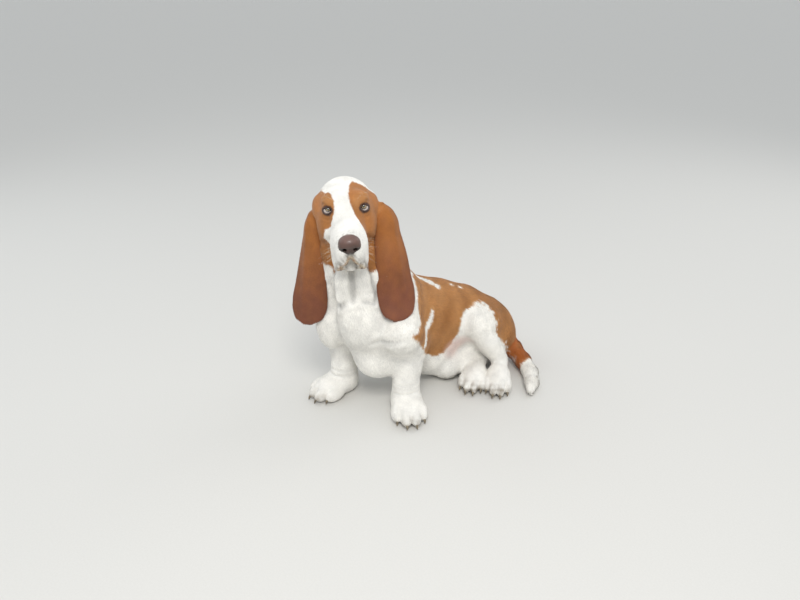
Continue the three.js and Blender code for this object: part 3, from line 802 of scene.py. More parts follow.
def edge_size(p):
    """The length that edges of the skin should have, finest round the eyes, nose and mouth"""
    spots = [(HEAD.at(0, 0, -30), (90, 125), 2.6), (HEAD.at(0, 92, -45), (38, 60), 1.7)]
    spots += [(eye_centre(side), (22, 40), 1.3) for side in SIDES]
    spots += [(leg.paw.at(0, 45 * leg.long, 15), (42, 60), 2.8) for leg in LEGS]
    size = np.full(len(p), COARSE)
    for centre, ends, fine in spots:
        size = np.minimum(size, np.interp(np.linalg.norm(p - centre, axis=1), ends, [fine, COARSE]))
    return size


def vertex_normals(points, faces):
    a, b, c = (points[faces[:, i]] for i in range(3))
    face = np.cross(b - a, c - a)
    total = np.zeros_like(points)
    for i in range(3):
        for axis in range(3):
            total[:, axis] += np.bincount(faces[:, i], face[:, axis], len(points))
    return unit(total)


def largest_shell(points, faces):
    """Drops loose scraps of the net"""
    parent = np.arange(len(points))
    edges = faces[:, [0, 1, 1, 2, 2, 0]].reshape(-1, 2)
    for _ in range(200):
        low = np.minimum(parent[edges[:, 0]], parent[edges[:, 1]])
        before = parent.copy()
        np.minimum.at(parent, edges[:, 0], low)
        np.minimum.at(parent, edges[:, 1], low)
        parent = parent[parent]
        if (parent == before).all():
            break
    root = parent[faces[:, 0]]
    names, sizes = np.unique(root, return_counts=True)
    faces = faces[root == names[sizes.argmax()]]
    used, back = np.unique(faces, return_inverse=True)
    return points[used], back.reshape(-1, 3)


# Colours, as light shows them
def rgb(text):
    c = np.array([int(text[i : i + 2], 16) for i in (0, 2, 4)]) / 255
    return np.where(c <= 0.04045, c / 12.92, ((c + 0.055) / 1.055) ** 2.4)


WHITE, CREAM, GREY = rgb("f4f1ea"), rgb("e2d3b4"), rgb("9c968c")
TAN, DEEP_TAN, HEAD_TAN, PALE_TAN = rgb("bd8650"), rgb("a06a38"), rgb("b3743c"), rgb("cda06c")
EAR_TAN, EAR_RUST, TAIL_RUST = rgb("a9692f"), rgb("7e4a33"), rgb("a45a26")
# the third colour greys the feet low down, on the toes and next to the floor
RIM, PINK, LOW_FOOT_GREY, SOIL = rgb("3a2622"), rgb("e3c3b8"), rgb("8c7d68"), rgb("5b5045")

# Where the tan lies on each side, along the body and up
SIDE_PATCH = [
    (-14, 330), (-34, 283), (-48, 264), (-68, 248), (-111, 225), (-131, 219), (-116, 205), (-88, 172),
    (-64, 140), (-34, 108), (-1, 90), (22, 92), (42, 104), (62, 129), (78, 168), (90, 178), (118, 180),
    (148, 182), (161, 176), (157, 158), (148, 122), (160, 100), (186, 74), (200, 48), (210, 20),
    (330, 10), (330, 330),
]
FAR_PATCH = [
    (-50, 330), (-70, 270), (-64, 222), (-30, 176), (10, 140), (60, 122), (110, 118), (150, 96),
    (190, 70), (215, 20), (330, 10), (330, 330),
]
# White in that tan: a streak, and spots with their radius
SPOTS = [
    ((-62, 22, 264), 9), ((-55, 34, 257), 12), ((-44, 46, 250), 12), ((-33, 55, 242), 10),
    ((-34, 108, 226), 6), ((-27, 130, 215), 5),
]
STREAK = eased([(11, -6, 216), (21, -27, 192), (41, -57, 180), (49, -73, 152)])


def inside_outline(u, v, outline):
    """Signed distance to a flat outline, positive inside"""
    outline = np.asarray(outline, float)
    best = np.full(len(u), 1e9)
    inside = np.zeros(len(u), bool)
    for (ax, ay), (bx, by) in zip(outline, np.roll(outline, -1, 0)):
        dx, dy = bx - ax, by - ay
        t = np.clip(((u - ax) * dx + (v - ay) * dy) / (dx * dx + dy * dy), 0, 1)
        best = np.minimum(best, np.hypot(u - ax - t * dx, v - ay - t * dy))
        span = (ay > v) != (by > v)
        inside ^= span & (u < dx * (v - ay) / (dy if dy else 1e-9) + ax)
    return np.where(inside, best, -best)


def mix(a, b, t):
    t = np.clip(t, 0, 1)[:, None]
    return a * (1 - t) + b * t


def head_tan(p):
    """How far inside the tan of the face a point is"""
    l, f, u = HEAD.local(p).T
    left = np.interp(f, [-72, -55, -16, 0, 12, 26, 40, 46], [18, 11, 7, 8, 11, 18, 29, 36])
    right = np.interp(f, [-72, -50, -20, -3, 10, 15, 22], [-46, -38, -27, -23, -23, -25, -32])
    front = np.where(
        l > 0,
        np.interp(u, [-150, -110, -60, -44, -34], [58, 44, 44, 52, 60]),
        np.interp(u, [-150, -110, -60, -36, -20], [60, 30, 16, 18, 28]),
    )
    side = np.where(l > 0, l - left, right - l)
    inside = np.minimum(side, (front - f) * 0.9)
    inside = np.minimum(inside, np.maximum(u + 97, np.minimum(np.abs(l) - 33, u + 131)))
    return np.minimum(inside, f + 70 + 10 * smoothstep(20, -20, l))


def body_tan(p):
    """How far inside the tan of the back, side and rump a point is"""
    x, y, z = p.T
    spine = np.interp(y, [-146, -90, 10, 80, 145, 192, 226], [-54, -70, -76, -62, -38, 0, 40])
    left = inside_outline(y, z, SIDE_PATCH)
    right = inside_outline(y, z, FAR_PATCH)
    side = smoothstep(-12, 12, x - spine)
    inside = left * side + right * (1 - side)
    streak, share = path_distance(p, STREAK)
    inside = np.minimum(inside, streak - 7 * np.sin(np.pi * np.clip(share, 0.05, 0.95)) ** 0.6 - 1.5)
    for centre, radius in SPOTS:
        inside = np.minimum(inside, np.linalg.norm(p - vec(*centre), axis=1) - radius)
    return inside


def grows_on(groups, *names):
    return np.isin(groups, [GROUPS.index(name) for name in names])


def coat_colour(p, groups):
    """The colour of the coat at each point, by the part of the body that it grows on"""
    x, y, z = p.T
    ragged = ripple(p, 9, 3) * 2.0 + ripple(p, 3.6, 4) * 1.3
    fine = ripple(p, 5, 5) * 0.7 + ripple(p, 2.4, 6) * 0.5
    white = np.tile(WHITE, (len(p), 1))
    # the back, side and rump
    tan = body_tan(p)
    rear = smoothstep(120, 170, y)
    edge = tan + ragged * (0.7 + 1.6 * rear)
    shade = mix(TAN, DEEP_TAN, 0.25 + 0.3 * ripple(p, 70, 7) + 0.25 * smoothstep(230, 170, z))
    shade = mix(shade, PALE_TAN, smoothstep(7, 0, edge) * 0.5)
    on_body = grows_on(groups, "torso", "hindleg_left", "tail", "hindleg_right")
    colour = mix(white, shade, smoothstep(-1.2, 1.2, edge) * on_body)
    tail = grows_on(groups, "tail")
    rust = np.maximum(smoothstep(196, 212, y + ragged), smoothstep(92, 108, x))
    rust = smoothstep(130, 123, x + ragged) * rust
    colour = mix(colour, mix(np.tile(TAIL_RUST, (len(p), 1)), TAN, ripple(p, 20, 8) * 0.3), rust * tail)
    colour[tail & (x > 131)] = WHITE
    # the head
    head = grows_on(groups, "head", "neck")
    inside = head_tan(p)
    for side in SIDES:
        share = ear_place(side, p)[2]
        inside = np.maximum(inside, 9 - ear_distance(side, p, 0) - 40 * smoothstep(0.15, 0.3, share))
    inside = inside + fine
    l, f, u = HEAD.local(p).T
    face = mix(HEAD_TAN, DEEP_TAN, 0.3 + 0.25 * ripple(p, 40, 9) + 0.3 * smoothstep(-20, -70, u))
    for side in SIDES:
        out = np.linalg.norm(p - eye_centre(side), axis=1)
        face = mix(face, PALE_TAN, 0.22 * smoothstep(34, 24, out) * smoothstep(2, 12, u))
        face = mix(face, DEEP_TAN, 0.5 * smoothstep(24, 15, out))
    colour = np.where(head[:, None], mix(white, face, smoothstep(-0.9, 0.9, inside)), colour)
    freckle = smoothstep(0.5, 0.9, ripple(p, 4.5, 11)) * 0.45
    freckle = freckle * smoothstep(64, 78, f) * smoothstep(-40, -15, u)
    mouth = np.minimum(*(path_distance(p, MOUTHS[side])[0] for side in SIDES))
    chin = smoothstep(26, 8, mouth) * smoothstep(60, 80, f)
    colour = mix(colour, GREY, head * np.maximum(freckle, chin * (0.62 + 0.4 * ripple(p, 7, 12))))
    lip = smoothstep(12, 3, mouth)
    colour = mix(colour, mix(CREAM, DEEP_TAN, 0.45 + 0.6 * ripple(p, 6, 13)), head * lip * 0.85)
    inner = np.maximum(smoothstep(3.4, 1.6, mouth), smoothstep(2.4, 1.2, path_distance(p, PHILTRUM)[0]))
    colour = mix(colour, RIM, head * inner * 0.8)
    for side in SIDES:
        out, depth = lid_opening(side, p)
        out = np.where(depth > 2, out, 99)
        colour = mix(colour, RIM, head * smoothstep(4.2, 1.4, out + 0.4 * fine) * 0.94)
    # the feet, darker low on the toes and next to the floor; painted shade in the folds; and the bare
    # groin
    for leg in LEGS:
        l, f, u = leg.paw.local(p).T
        reach = smoothstep(52 * leg.long, 84 * leg.long, f) * (np.abs(l) < 48) * (f < 120) * (u < 45)
        hind = leg in HIND.values()
        # the fronts of the toes darker low down, more so on the hind feet
        toe_darkening = reach * smoothstep(50 if hind else 36, 8, u) * (0.6 + 0.5 * ripple(p, 16, 16))
        colour = mix(colour, LOW_FOOT_GREY, toe_darkening * (1.1 if hind else 0.7))
    paws = grows_on(groups, *[name for name in GROUPS if "paw" in name])
    # paw hair darker in the last centimetre above the floor
    colour = mix(colour, LOW_FOOT_GREY, paws * smoothstep(10, 1, z) * 0.5 * (0.6 + 0.4 * ripple(p, 8, 17)))
    # painted shade: the coat darkened along the furrows of the skin's folds, as shade in the creases
    colour = colour * (1 - 0.34 * np.clip(folds(p) / 3, 0, 1))[:, None]
    groin = np.linalg.norm((p - vec(36, 60, 92)) / vec(26, 50, 34), axis=1)
    return mix(colour, PINK, smoothstep(1.15, 0.5, groin) * 0.7)


def ear_colour(side, p):
    w, _, share, half, _ = ear_place(side, p)
    down = smoothstep(0.15, 0.75, share)
    hide = mix(EAR_TAN, EAR_RUST, down + 0.07 * ripple(p, 24, 15))
    return mix(hide, EAR_RUST * 0.72, 0.5 * smoothstep(0.75, 1, np.abs(w) / half))


GROUPS = [
    "head", "neck", "torso", "foreleg_left", "foreleg_right", "forepaw_left", "forepaw_right",
    "hindleg_left", "hindleg_right", "hindpaw_left", "hindpaw_right", "tail", "ear_left", "ear_right",
]

HAIR_SCALE = 0.6  # of the lengths that the pieces give
EAR_HAIR = 3.3


def lie_of_coat(p):
    """The part of the body that each point belongs to, the way its hair lies, and the hair's length"""
    weights = np.zeros(len(p))
    flow = np.zeros((len(p), 3))
    hair = np.zeros(len(p))
    nearest = np.full(len(p), 1e9)
    group = np.zeros(len(p), int)
    for piece in MAIN + RIGHT_FOOT:
        near = in_box(p, piece.low, piece.high, 30)
        if not len(near):
            continue
        q = p[near]
        direction = piece.flow[None]
        if piece.bends:
            middles, ways = piece.bends
            pull = np.exp(-np.linalg.norm(q[:, None] - middles, axis=2) / 25)
            direction = unit((pull[:, :, None] * ways).sum(1))
        d = piece.distance(q)
        weight = np.exp(-np.clip(d, -20, 60) / 7)
        weights[near] += weight
        flow[near] += weight[:, None] * direction
        hair[near] += weight * piece.hair
        closer = d < nearest[near]
        nearest[near[closer]] = d[closer]
        group[near[closer]] = GROUPS.index(piece.group)
    return group, unit(flow), HAIR_SCALE * hair / np.maximum(weights, 1e-9)


# Blender objects
SHIFT = np.zeros(3)


def to_metres(p):
    return (np.asarray(p) + SHIFT) / 1000


def make_mesh(name, points, faces, colour=None):
    """A mesh object from triangles, with its colour kept in an attribute"""
    mesh = bpy.data.meshes.new(name)
    mesh.vertices.add(len(points))
    mesh.vertices.foreach_set("co", to_metres(points).astype(np.float32).ravel())
    mesh.loops.add(faces.size)
    mesh.loops.foreach_set("vertex_index", faces.astype(np.int32).ravel())
    mesh.polygons.add(len(faces))
    mesh.polygons.foreach_set("loop_start", np.arange(0, faces.size, 3, dtype=np.int32))
    mesh.polygons.foreach_set("use_smooth", np.full(len(faces), True))
    mesh.update(calc_edges=True)
    if colour is not None:
        layer = mesh.color_attributes.new("tint", "FLOAT_COLOR", "POINT")
        rgba = np.ones((len(points), 4), np.float32)
        rgba[:, :3] = colour
        layer.data.foreach_set("color", rgba.ravel())
    obj = bpy.data.objects.new(name, mesh)
    bpy.context.scene.collection.objects.link(obj)
    return obj


class Nodes:
    """Short calls for a material's node tree"""

    def __init__(self, name):
        self.material = bpy.data.materials.new(name)
        self.material.use_nodes = True
        self.tree = self.material.node_tree
        self.shader = self.tree.nodes["Principled BSDF"]

    def add(self, kind, **settings):
        made = self.tree.nodes.new("ShaderNode" + kind)
        for key, value in settings.items():
            if key in ("blend_type", "data_type", "attribute_name"):
                setattr(made, key, value)
            else:
                made.inputs[key].default_value = value
        return made

    def link(self, a, b):
        self.tree.links.new(a, b)

    def set(self, **values):
        for key, value in values.items():
            self.shader.inputs[key.replace("_", " ")].default_value = value

    def places(self):
        return self.add("TexCoord").outputs["Object"]

    def tint(self):
        return self.add("Attribute", attribute_name="tint").outputs["Color"]

    def colour(self, source):
        self.link(source, self.shader.inputs["Base Color"])

    def relief(self, source):
        self.link(source, self.shader.inputs["Normal"])

    def noise(self, scale, detail=3.0, rough=0.5):
        made = self.add("TexNoise", Scale=scale, Detail=detail, Roughness=rough)
        self.link(self.places(), made.inputs["Vector"])
        return made.outputs["Fac"]

    def ramp(self, source, stops):
        made = self.add("ValToRGB")
        ramp = made.color_ramp
        while len(ramp.elements) < len(stops):
            ramp.elements.new(0.5)
        for element, (place, colour) in zip(ramp.elements, stops):
            element.position = place
            element.color = (*np.broadcast_to(colour, 3), 1)
        self.link(source, made.inputs["Fac"])
        return made.outputs["Color"]

    def mix(self, kind, factor, a, b):
        made = self.add("Mix", data_type="RGBA", blend_type=kind)
        for value, socket in ((factor, made.inputs[0]), (a, made.inputs[6]), (b, made.inputs[7])):
            if isinstance(value, bpy.types.NodeSocket):
                self.link(value, socket)
            elif len(np.atleast_1d(value)) == 3:
                socket.default_value = (*value, 1)
            else:
                socket.default_value = value
        return made.outputs[2]

    def bump(self, height, strength, distance, under=None):
        made = self.add("Bump", Strength=strength, Distance=distance)
        self.link(height, made.inputs["Height"])
        if under is not None:
            self.link(under, made.inputs["Normal"])
        return made.outputs["Normal"]


def fur_material(name, low):
    """Hair that takes its markings from the mesh, under fine streaks from that shade up"""
    n = Nodes(name)
    patches = n.ramp(n.noise(38.0), [(0.3, 0.88), (0.7, 1.08)])
    strands = n.ramp(n.noise(900.0, 2.0), [(0.3, low), (0.7, 1.1)])
    n.colour(n.mix("MULTIPLY", 1.0, n.mix("MULTIPLY", 1.0, n.tint(), patches), strands))
    n.set(Roughness=0.62, Sheen_Weight=0.12, Sheen_Roughness=0.5, Specular_IOR_Level=0.25)
    n.relief(n.bump(n.noise(1100.0, 2.0), 0.35, 0.0006))
    return n.material


def nose_material():
    n = Nodes("nose_leather")
    cells = n.add("TexVoronoi", Scale=620.0)
    n.link(n.places(), cells.inputs["Vector"])
    pebbles = n.ramp(cells.outputs["Distance"], [(0.0, 1.0), (0.55, 0.0)])
    leather = n.ramp(n.noise(55.0, 4.0), [(0.3, rgb("4d3730")), (0.7, rgb("654a41"))])
    # on the nose the tint carries painted light and shade
    n.colour(n.mix("MULTIPLY", 1.0, leather, n.tint()))
    n.set(Roughness=0.36, Specular_IOR_Level=0.5, Coat_Weight=0.18, Coat_Roughness=0.25)
    n.relief(n.bump(n.noise(160.0), 0.3, 0.001, n.bump(pebbles, 0.5, 0.0006)))
    return n.material


def plain_material(name, low, high, scale, rough, bump=0.2, coat=0.0):
    """A mottled surface between two colours"""
    n = Nodes(name)
    n.colour(n.ramp(n.noise(scale, 4.0), [(0.3, rgb(low)), (0.7, rgb(high))]))
    n.set(Roughness=rough, Specular_IOR_Level=0.4, Coat_Weight=coat, Coat_Roughness=0.08)
    n.relief(n.bump(n.noise(scale * 3), bump, 0.0005))
    return n.material


def eye_material():
    n = Nodes("eye_ball")
    veins = n.ramp(n.noise(420.0, 4.0, 0.6), [(0.35, 0.86), (0.65, 1.05)])
    n.colour(n.mix("MULTIPLY", 1.0, n.tint(), veins))
    n.set(Roughness=0.25, Specular_IOR_Level=0.5, Coat_Weight=1.0, Coat_Roughness=0.03)
    return n.material


def cornea_material():
    n = Nodes("eye_cornea")
    n.set(Base_Color=(1, 1, 1, 1), Roughness=0.02, Specular_IOR_Level=0.5)
    n.set(IOR=1.376, Transmission_Weight=1.0)
    n.material.blend_method = "HASHED"
    return n.material


def dress(obj, material, slot, *nodes):
    obj.data.materials.clear()
    obj.data.materials.append(material)
    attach(obj, "root")
    if nodes:
        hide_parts(*nodes)


def tube_mesh(path, radius, around):
    """Rings along a path closed by a point at each end. The radius may change along it."""
    path = np.asarray(path, float)
    count = len(path)
    radius = np.broadcast_to(radius, count)
    along = unit(np.gradient(path, axis=0))
    side = unit(np.cross(along[0], UP if abs(along[0] @ UP) < 0.9 else vec(1, 0, 0)))
    points = []
    for p, t, r in zip(path, along, radius):
        side = unit(side - t * (side @ t))
        other = np.cross(t, side)
        a = np.arange(around) * 2 * np.pi / around
        points.append(p + r * (np.cos(a)[:, None] * side + np.sin(a)[:, None] * other))
    tips = path[:1] - along[0] * radius[0] * 0.3, path[-1:] + along[-1] * radius[-1] * 0.3
    return np.vstack([*points, *tips]), ring_faces(around, count)


def merged(parts):
    points, faces, start = [], [], 0
    for p, f in parts:
        points.append(p)
        faces.append(f + start)
        start += len(p)
    return np.vstack(points), np.vstack(faces)


def ball_mesh(rings, around):
    """A ball of radius 1 about +Y, with its pole to the front so that an iris is round"""
    a = np.linspace(0, np.pi, rings + 1)[1:-1, None]
    b = np.arange(around) * 2 * np.pi / around
    ring = np.stack([np.sin(a) * np.cos(b), np.repeat(np.cos(a), around, 1), np.sin(a) * np.sin(b)], -1)
    points = np.vstack([ring.reshape(-1, 3), [(0, 1, 0), (0, -1, 0)]])
    return points, ring_faces(around, rings - 1)


EAR_AROUND = 44
SHOULDER_SHIFT = 8 * vec(0.67, -0.74, 0)  # the end of the left ear lies on the shoulder


def ear_shell(side):
    """A hanging ear: rings down the leather, rounded off at both ends, with the lie of its hair"""
    rows = EAR_TABLES[side][::-1]
    bend = np.radians(np.arange(15, 90, 15))
    ends = []
    for row, way in ((rows[0], 1), (rows[-1], -1)):
        cap = np.repeat(row[None], len(bend), 0)
        cap[:, 0] += way * EAR_END * np.sin(bend)
        ends.append(cap)
    rows = np.vstack([ends[0][::-1], rows, ends[1]])
    shrink = np.concatenate([np.cos(bend)[::-1], np.ones(EAR_ROWS), np.cos(bend)])[:, None]
    height, x, y, half, turn, share = (rows[:, i : i + 1] for i in range(6))
    ax, ay = ear_axis(side, turn)
    t = np.arange(EAR_AROUND) * 2 * np.pi / EAR_AROUND
    w = (half - EAR_COAT) * shrink * np.cos(t)
    wave = 1.3 * np.sin(3.2 * w / half + 5 * share) * smoothstep(0.05, 0.3, share)
    fold = np.exp(-(((w / half - 0.35) / 0.16) ** 2))
    wave = wave + 2.4 * fold * np.sin(np.pi * np.clip(share * 1.2, 0, 1))
    thick = (ear_thickness(share) - EAR_COAT) * shrink
    off = (ear_curl(w, half, share) + wave + thick * np.sin(t)) * side
    height = np.broadcast_to(height, w.shape)
    ring = np.stack([x + ax * w + ay * off, y + ay * w - ax * off, height], -1)
    if side > 0:
        ring = ring + smoothstep(0.6, 0.9, share)[..., None] * SHOULDER_SHIFT
    points = np.vstack([ring.reshape(-1, 3), ring[0].mean(0), ring[-1].mean(0)])
    across = np.stack([ax, ay, 0 * ax], -1) * (w / half)[..., None] * 0.25
    flow = np.vstack([(across - UP).reshape(-1, 3), [-UP, -UP]])
    return points, ring_faces(EAR_AROUND, len(rows)), unit(flow)


def ring_faces(around, rings):
    """Triangles between rings stacked on each other, with a point that closes each end"""
    j = np.arange(around)
    k = (j + 1) % around
    first, last = around * rings, around * rings + 1
    faces = [np.stack([np.full(around, first), k, j], 1)]
    for i in range(rings - 1):
        a, b = i * around, (i + 1) * around
        faces.append(np.stack([a + j, a + k, b + k], 1))
        faces.append(np.stack([a + j, b + k, b + j], 1))
    end = (rings - 1) * around
    faces.append(np.stack([np.full(around, last), end + j, end + k], 1))
    return np.vstack(faces)


def volume(points, faces):
    """Six times the volume, below zero where the triangles face inwards"""
    a, b, c = (points[faces[:, i]] for i in range(3))
    return np.einsum("ij,ij->i", a, np.cross(b, c)).sum()


def build_skin():
    """The skin's points and triangles, and at each point the part of the body and
    the lie, length and colour of the coat"""
    low, high = vec(-220, -285, -6), vec(222, 285, 528)
    step = 3.4
    points, faces = net(grid_values(plain_skin, low, high, step), low, step)
    points, faces = largest_shell(points, faces)
    points = settle(plain_skin, points, step / 2, 1)
    for amount, most in ((0.4, 1.5), (0.3, 1.0)):
        points, faces = refined(points, faces, edge_size)
        points = settle(skin_distance, relaxed(points, faces, amount), most, 1)
    group, flow, hair = lie_of_coat(points)
    skin = [[points, faces, group, flow, hair, coat_colour(points, group)]]
    start = len(points)
    for side, name in ((1, "ear_left"), (-1, "ear_right")):
        points, faces, flow = ear_shell(side)
        faces = faces if volume(points, faces) > 0 else faces[:, ::-1]
        group = np.full(len(points), GROUPS.index(name))
        hair = np.full(len(points), EAR_HAIR)
        skin.append([points, faces + start, group, flow, hair, ear_colour(side, points)])
        start += len(points)
    return [np.concatenate(part) for part in zip(*skin)]


GAZE = vec(877, -976, 1100)  # what both eyes look at
IRIS_EDGE = 33  # degrees from the middle of the pupil


def build_eyes(material, glass):
    """Eyeballs with a dished iris, pupil and white, each under a clear cornea"""
    points, faces = ball_mesh(56, 72)
    for side, name in ((1, "left"), (-1, "right")):
        centre = eye_centre(side)
        gaze = unit(GAZE - centre)
        left = unit(np.cross(UP, gaze))
        up = np.cross(gaze, left)
        turn = np.array([left, gaze, up])
        angle = np.degrees(np.arccos(np.clip(points[:, 1], -1, 1)))
        around = np.arctan2(points[:, 2], points[:, 0])
        dish = 0.90 + 0.03 * smoothstep(8, IRIS_EDGE, angle)
        radius = EYE_RADIUS * np.where(angle < IRIS_EDGE, dish, 0.985)
        ball = points * radius[:, None] @ turn + centre
        threads = 0.5 + 0.5 * np.sin(around * 37 + 3 * np.sin(around * 11)) * np.sin(around * 23 + 1)
        iris = mix(rgb("5f4c30"), rgb("97835a"), threads * 0.8)
        iris = mix(iris, rgb("4a3a22"), smoothstep(17, 11, angle) * 0.6)
        iris = mix(iris, rgb("2c231a"), smoothstep(26, IRIS_EDGE, angle))
        colour = mix(iris, rgb("0a0707"), smoothstep(12.5, 11.3, angle))
        white = mix(rgb("cfc3ba"), rgb("ab8278"), smoothstep(44, 75, angle))
        white = mix(white, rgb("6b4a40"), smoothstep(40, IRIS_EDGE, angle) * 0.7)
        colour = mix(colour, white, smoothstep(32.6, 33.4, angle))
        eye = make_mesh("eyeball_" + name, ball, faces, colour)
        dress(eye, material, "eye", "eye_" + name)
        front = points[:, 1] > np.cos(np.radians(40))
        bulge = EYE_RADIUS * (1 + 0.035 * np.cos(np.radians(np.clip(angle, 0, 36) * 90 / 36)))
        keep = front[faces].all(1)
        used, back = np.unique(faces[keep], return_inverse=True)
        shell = points[used] * bulge[used][:, None] @ turn + centre
        cornea = make_mesh("cornea_" + name, shell, back.reshape(-1, 3))
        dress(cornea, glass, "eye")


def lid_rim_path(side):
    """The edge of the lids, on a ball a little larger than the eye"""
    a = np.arange(61) * 2 * np.pi / 60
    across = (OPENING[0] + 0.2) * np.cos(a)
    tall = np.where(np.sin(a) > 0, OPENING[1], OPENING[2]) + 0.2
    rise = tall * np.sign(np.sin(a)) * np.abs(np.sin(a)) ** 1.25 - across * 0.06
    depth = np.sqrt(np.maximum((LID_RADIUS - 1.4) ** 2 - across**2 - rise**2, 20))
    eye = EYES[side]
    return eye.o + np.stack([side * across, depth, rise], 1) @ eye.rows, a


def build_nose(material):
    corner = np.array([HEAD.at(l, f, u) for l in (-26, 26) for f in (74, 114) for u in (-45, 5)])

    def field(p):
        value = nose_distance(p)
        for side in SIDES:
            path = [(8.5, 102, -24.5), (12, 109.5, -25), (16, 108, -23.5), (20.5, 102, -27)]
            path.append((26, 95, -28))
            d, share = path_distance(p, eased([HEAD.at(side * l, f, u) for l, f, u in path]))
            value = blend_max(value, 4.3 - 2.8 * share - d, 2.0)
        q = HEAD.local(p)
        groove = smoothstep(96, 104, q[:, 1]) * smoothstep(-17, -24, q[:, 2])
        return value + 0.8 * (np.exp(-((q[:, 0] / 1.1) ** 2)) * groove)

    low, high = corner.min(0) - 3, corner.max(0) + 3
    points, faces = net(grid_values(field, low, high, 1.0), low, 1.0)
    points, faces = largest_shell(points, faces)
    points = settle(field, relaxed(points, faces), 0.5, 2)
    # painted shadow inside the nostrils, painted shade under the nose and painted light on its top
    painted_nose_light = np.full(len(points), 1.0)
    for side in SIDES:
        d, share = path_distance(points, [HEAD.at(side * 11, 105, -25), HEAD.at(side * 16, 105, -24)])
        painted_nose_light = np.minimum(painted_nose_light, 0.12 + 0.88 * smoothstep(1.5, 5, d))
    painted_nose_light = painted_nose_light * np.interp(HEAD.local(points)[:, 2], [-40, -28, -18, -5], [0.38, 0.5, 0.95, 1.25])
    # the painted light and shade go into the tint that the leather is multiplied by
    nose = make_mesh("nose_leather", points, faces, np.repeat(painted_nose_light[:, None], 3, 1))
    dress(nose, material, "nose_leather", "nose")


def build_claws(material):
    for kind, legs in (("fore", FORE), ("hind", HIND)):
        for name, leg in legs.items():
            parts = []
            for side, reach, _ in TOES:
                x, y = side * leg.wide, (reach + 25) * leg.long
                bend = ((1, -10, 14), (1.02, -4, 12.5), (1.04, -0.5, 9), (1.05, 0.5, 4.5))
                path = eased([leg.paw.at(x * spread, y + f, u) for spread, f, u in bend], 5)
                t = np.linspace(0, 1, len(path))
                parts.append(tube_mesh(path, CLAW_RADIUS * (1 - 0.72 * t**2), 12))
            points, faces = merged(parts)
            claws = make_mesh(f"claws_{kind}_{name}", points, faces)
            dress(claws, material, "claw", *[f"claw_{kind}_{name}_{i}" for i in (1, 2, 3, 4)])


# The coat
HAIR_WIDTH = 0.17  # of a tuft's length, at its root
PATCH = 0.003  # width of a tuft's patch on the map
TUFTS_IN_PIECE = 60000
CHART_GAP = 12  # millimetres between charts
BLADE = np.array([(0, 1, 3), (0, 3, 2), (2, 3, 4)])  # a tuft's triangles: root, middle and tip
# painted shade: each tuft darker at its root and a little lighter at its tip, for depth in the coat
BLADE_PAINTED_SHADE = np.array([0.92, 0.92, 1.0, 1.0, 1.03])
BLADE_UV = np.array([(0, 0), (1, 0), (0, 0.5), (1, 0.5), (0.5, 1)]) * PATCH


def sown(points, faces, wanted, rng):
    """Random places on the mesh, as many to the square millimetre as wanted at each triangle"""
    a, b, c = (points[faces[:, i]] for i in range(3))
    area = np.linalg.norm(np.cross(b - a, c - a), axis=1) / 2
    load = np.cumsum(area * wanted)
    count = int(load[-1])
    at = (np.arange(count) + rng.random(count)) / count * load[-1]
    tri = np.minimum(np.searchsorted(load, at), len(faces) - 1)
    r1, r2 = np.sqrt(rng.random(count)), rng.random(count)
    share = np.stack([1 - r1, r1 * (1 - r2), r1 * r2], 1)
    return tri, share


def build_coat(points, faces, normals, group, flow, hair, colour, material):
    """Flat pointed tufts all over the skin, bent down along it"""
    rng = np.random.default_rng(11)
    middle = points[faces].mean(1)
    wanted = np.interp(hair[faces].mean(1), [2.5, 3.6, 5, 7, 10], [1.0, 0.75, 0.52, 0.40, 0.30])
    bare = (nose_distance(middle) < 2.0) | (middle[:, 2] < 1.2)
    for side in SIDES:
        out = lid_opening(side, middle)[0]
        bare |= (out < 1.2) & (np.linalg.norm(middle - eye_centre(side), axis=1) < 20)
    wanted[bare] = 0
    tri, share = sown(points, faces, wanted, rng)
    count = len(tri)

    def at_root(values):
        return (values[faces[tri]] * share[..., None]).sum(1)

    root, normal = at_root(points), unit(at_root(normals))
    way = at_root(flow)
    size = ((hair[faces[tri]] * share).sum(1) * rng.uniform(0.75, 1.2, count))[:, None]
    way = way + rng.normal(size=way.shape) * 0.13
    way = unit(way - normal * (way * normal).sum(1)[:, None])
    across = unit(np.cross(way, normal) + normal * rng.normal(size=count)[:, None] * 0.25)
    lift = np.radians(rng.uniform(6, 15, count))[:, None]
    start = root - normal * 0.3
    middle = start + size * 0.5 * (way * np.cos(lift) + normal * np.sin(lift))
    tip = middle + size * 0.5 * (way * np.cos(lift * 0.45) + normal * np.sin(lift * 0.45))
    half = across * (size * HAIR_WIDTH / 2)
    blades = [start - half, start + half, middle - half * 0.8, middle + half * 0.8, tip]
    blades = np.stack(blades, 1)
    blades[..., 2] = np.maximum(blades[..., 2], 0.3)
    tint = np.clip(at_root(colour) * rng.normal(1, 0.045, count)[:, None], 0, 1)
    home = group[faces[tri, 0]]
    where = unwrap(root, normal, home)
    order = np.argsort(home, kind="stable")
    for piece, first in enumerate(range(0, count, TUFTS_IN_PIECE)):
        some = order[first : first + TUFTS_IN_PIECE]
        index = (np.arange(len(some)) * 5)[:, None, None] + BLADE
        # each tuft's colour with painted shade at its root and painted light at its tip
        colours = np.clip(tint[some][:, None] * BLADE_PAINTED_SHADE[None, :, None], 0, 1).reshape(-1, 3)
        corners = blades[some].reshape(-1, 3)
        coat = make_mesh(f"coat_{piece + 1:02d}", corners, index.reshape(-1, 3), colours)
        layer = coat.data.uv_layers.new(name="OFBake")
        uv = (where[some][:, None] + BLADE_UV)[:, BLADE].reshape(-1, 2)
        layer.data.foreach_set("uv", uv.astype(np.float32).ravel())
        dress(coat, material, "coat")


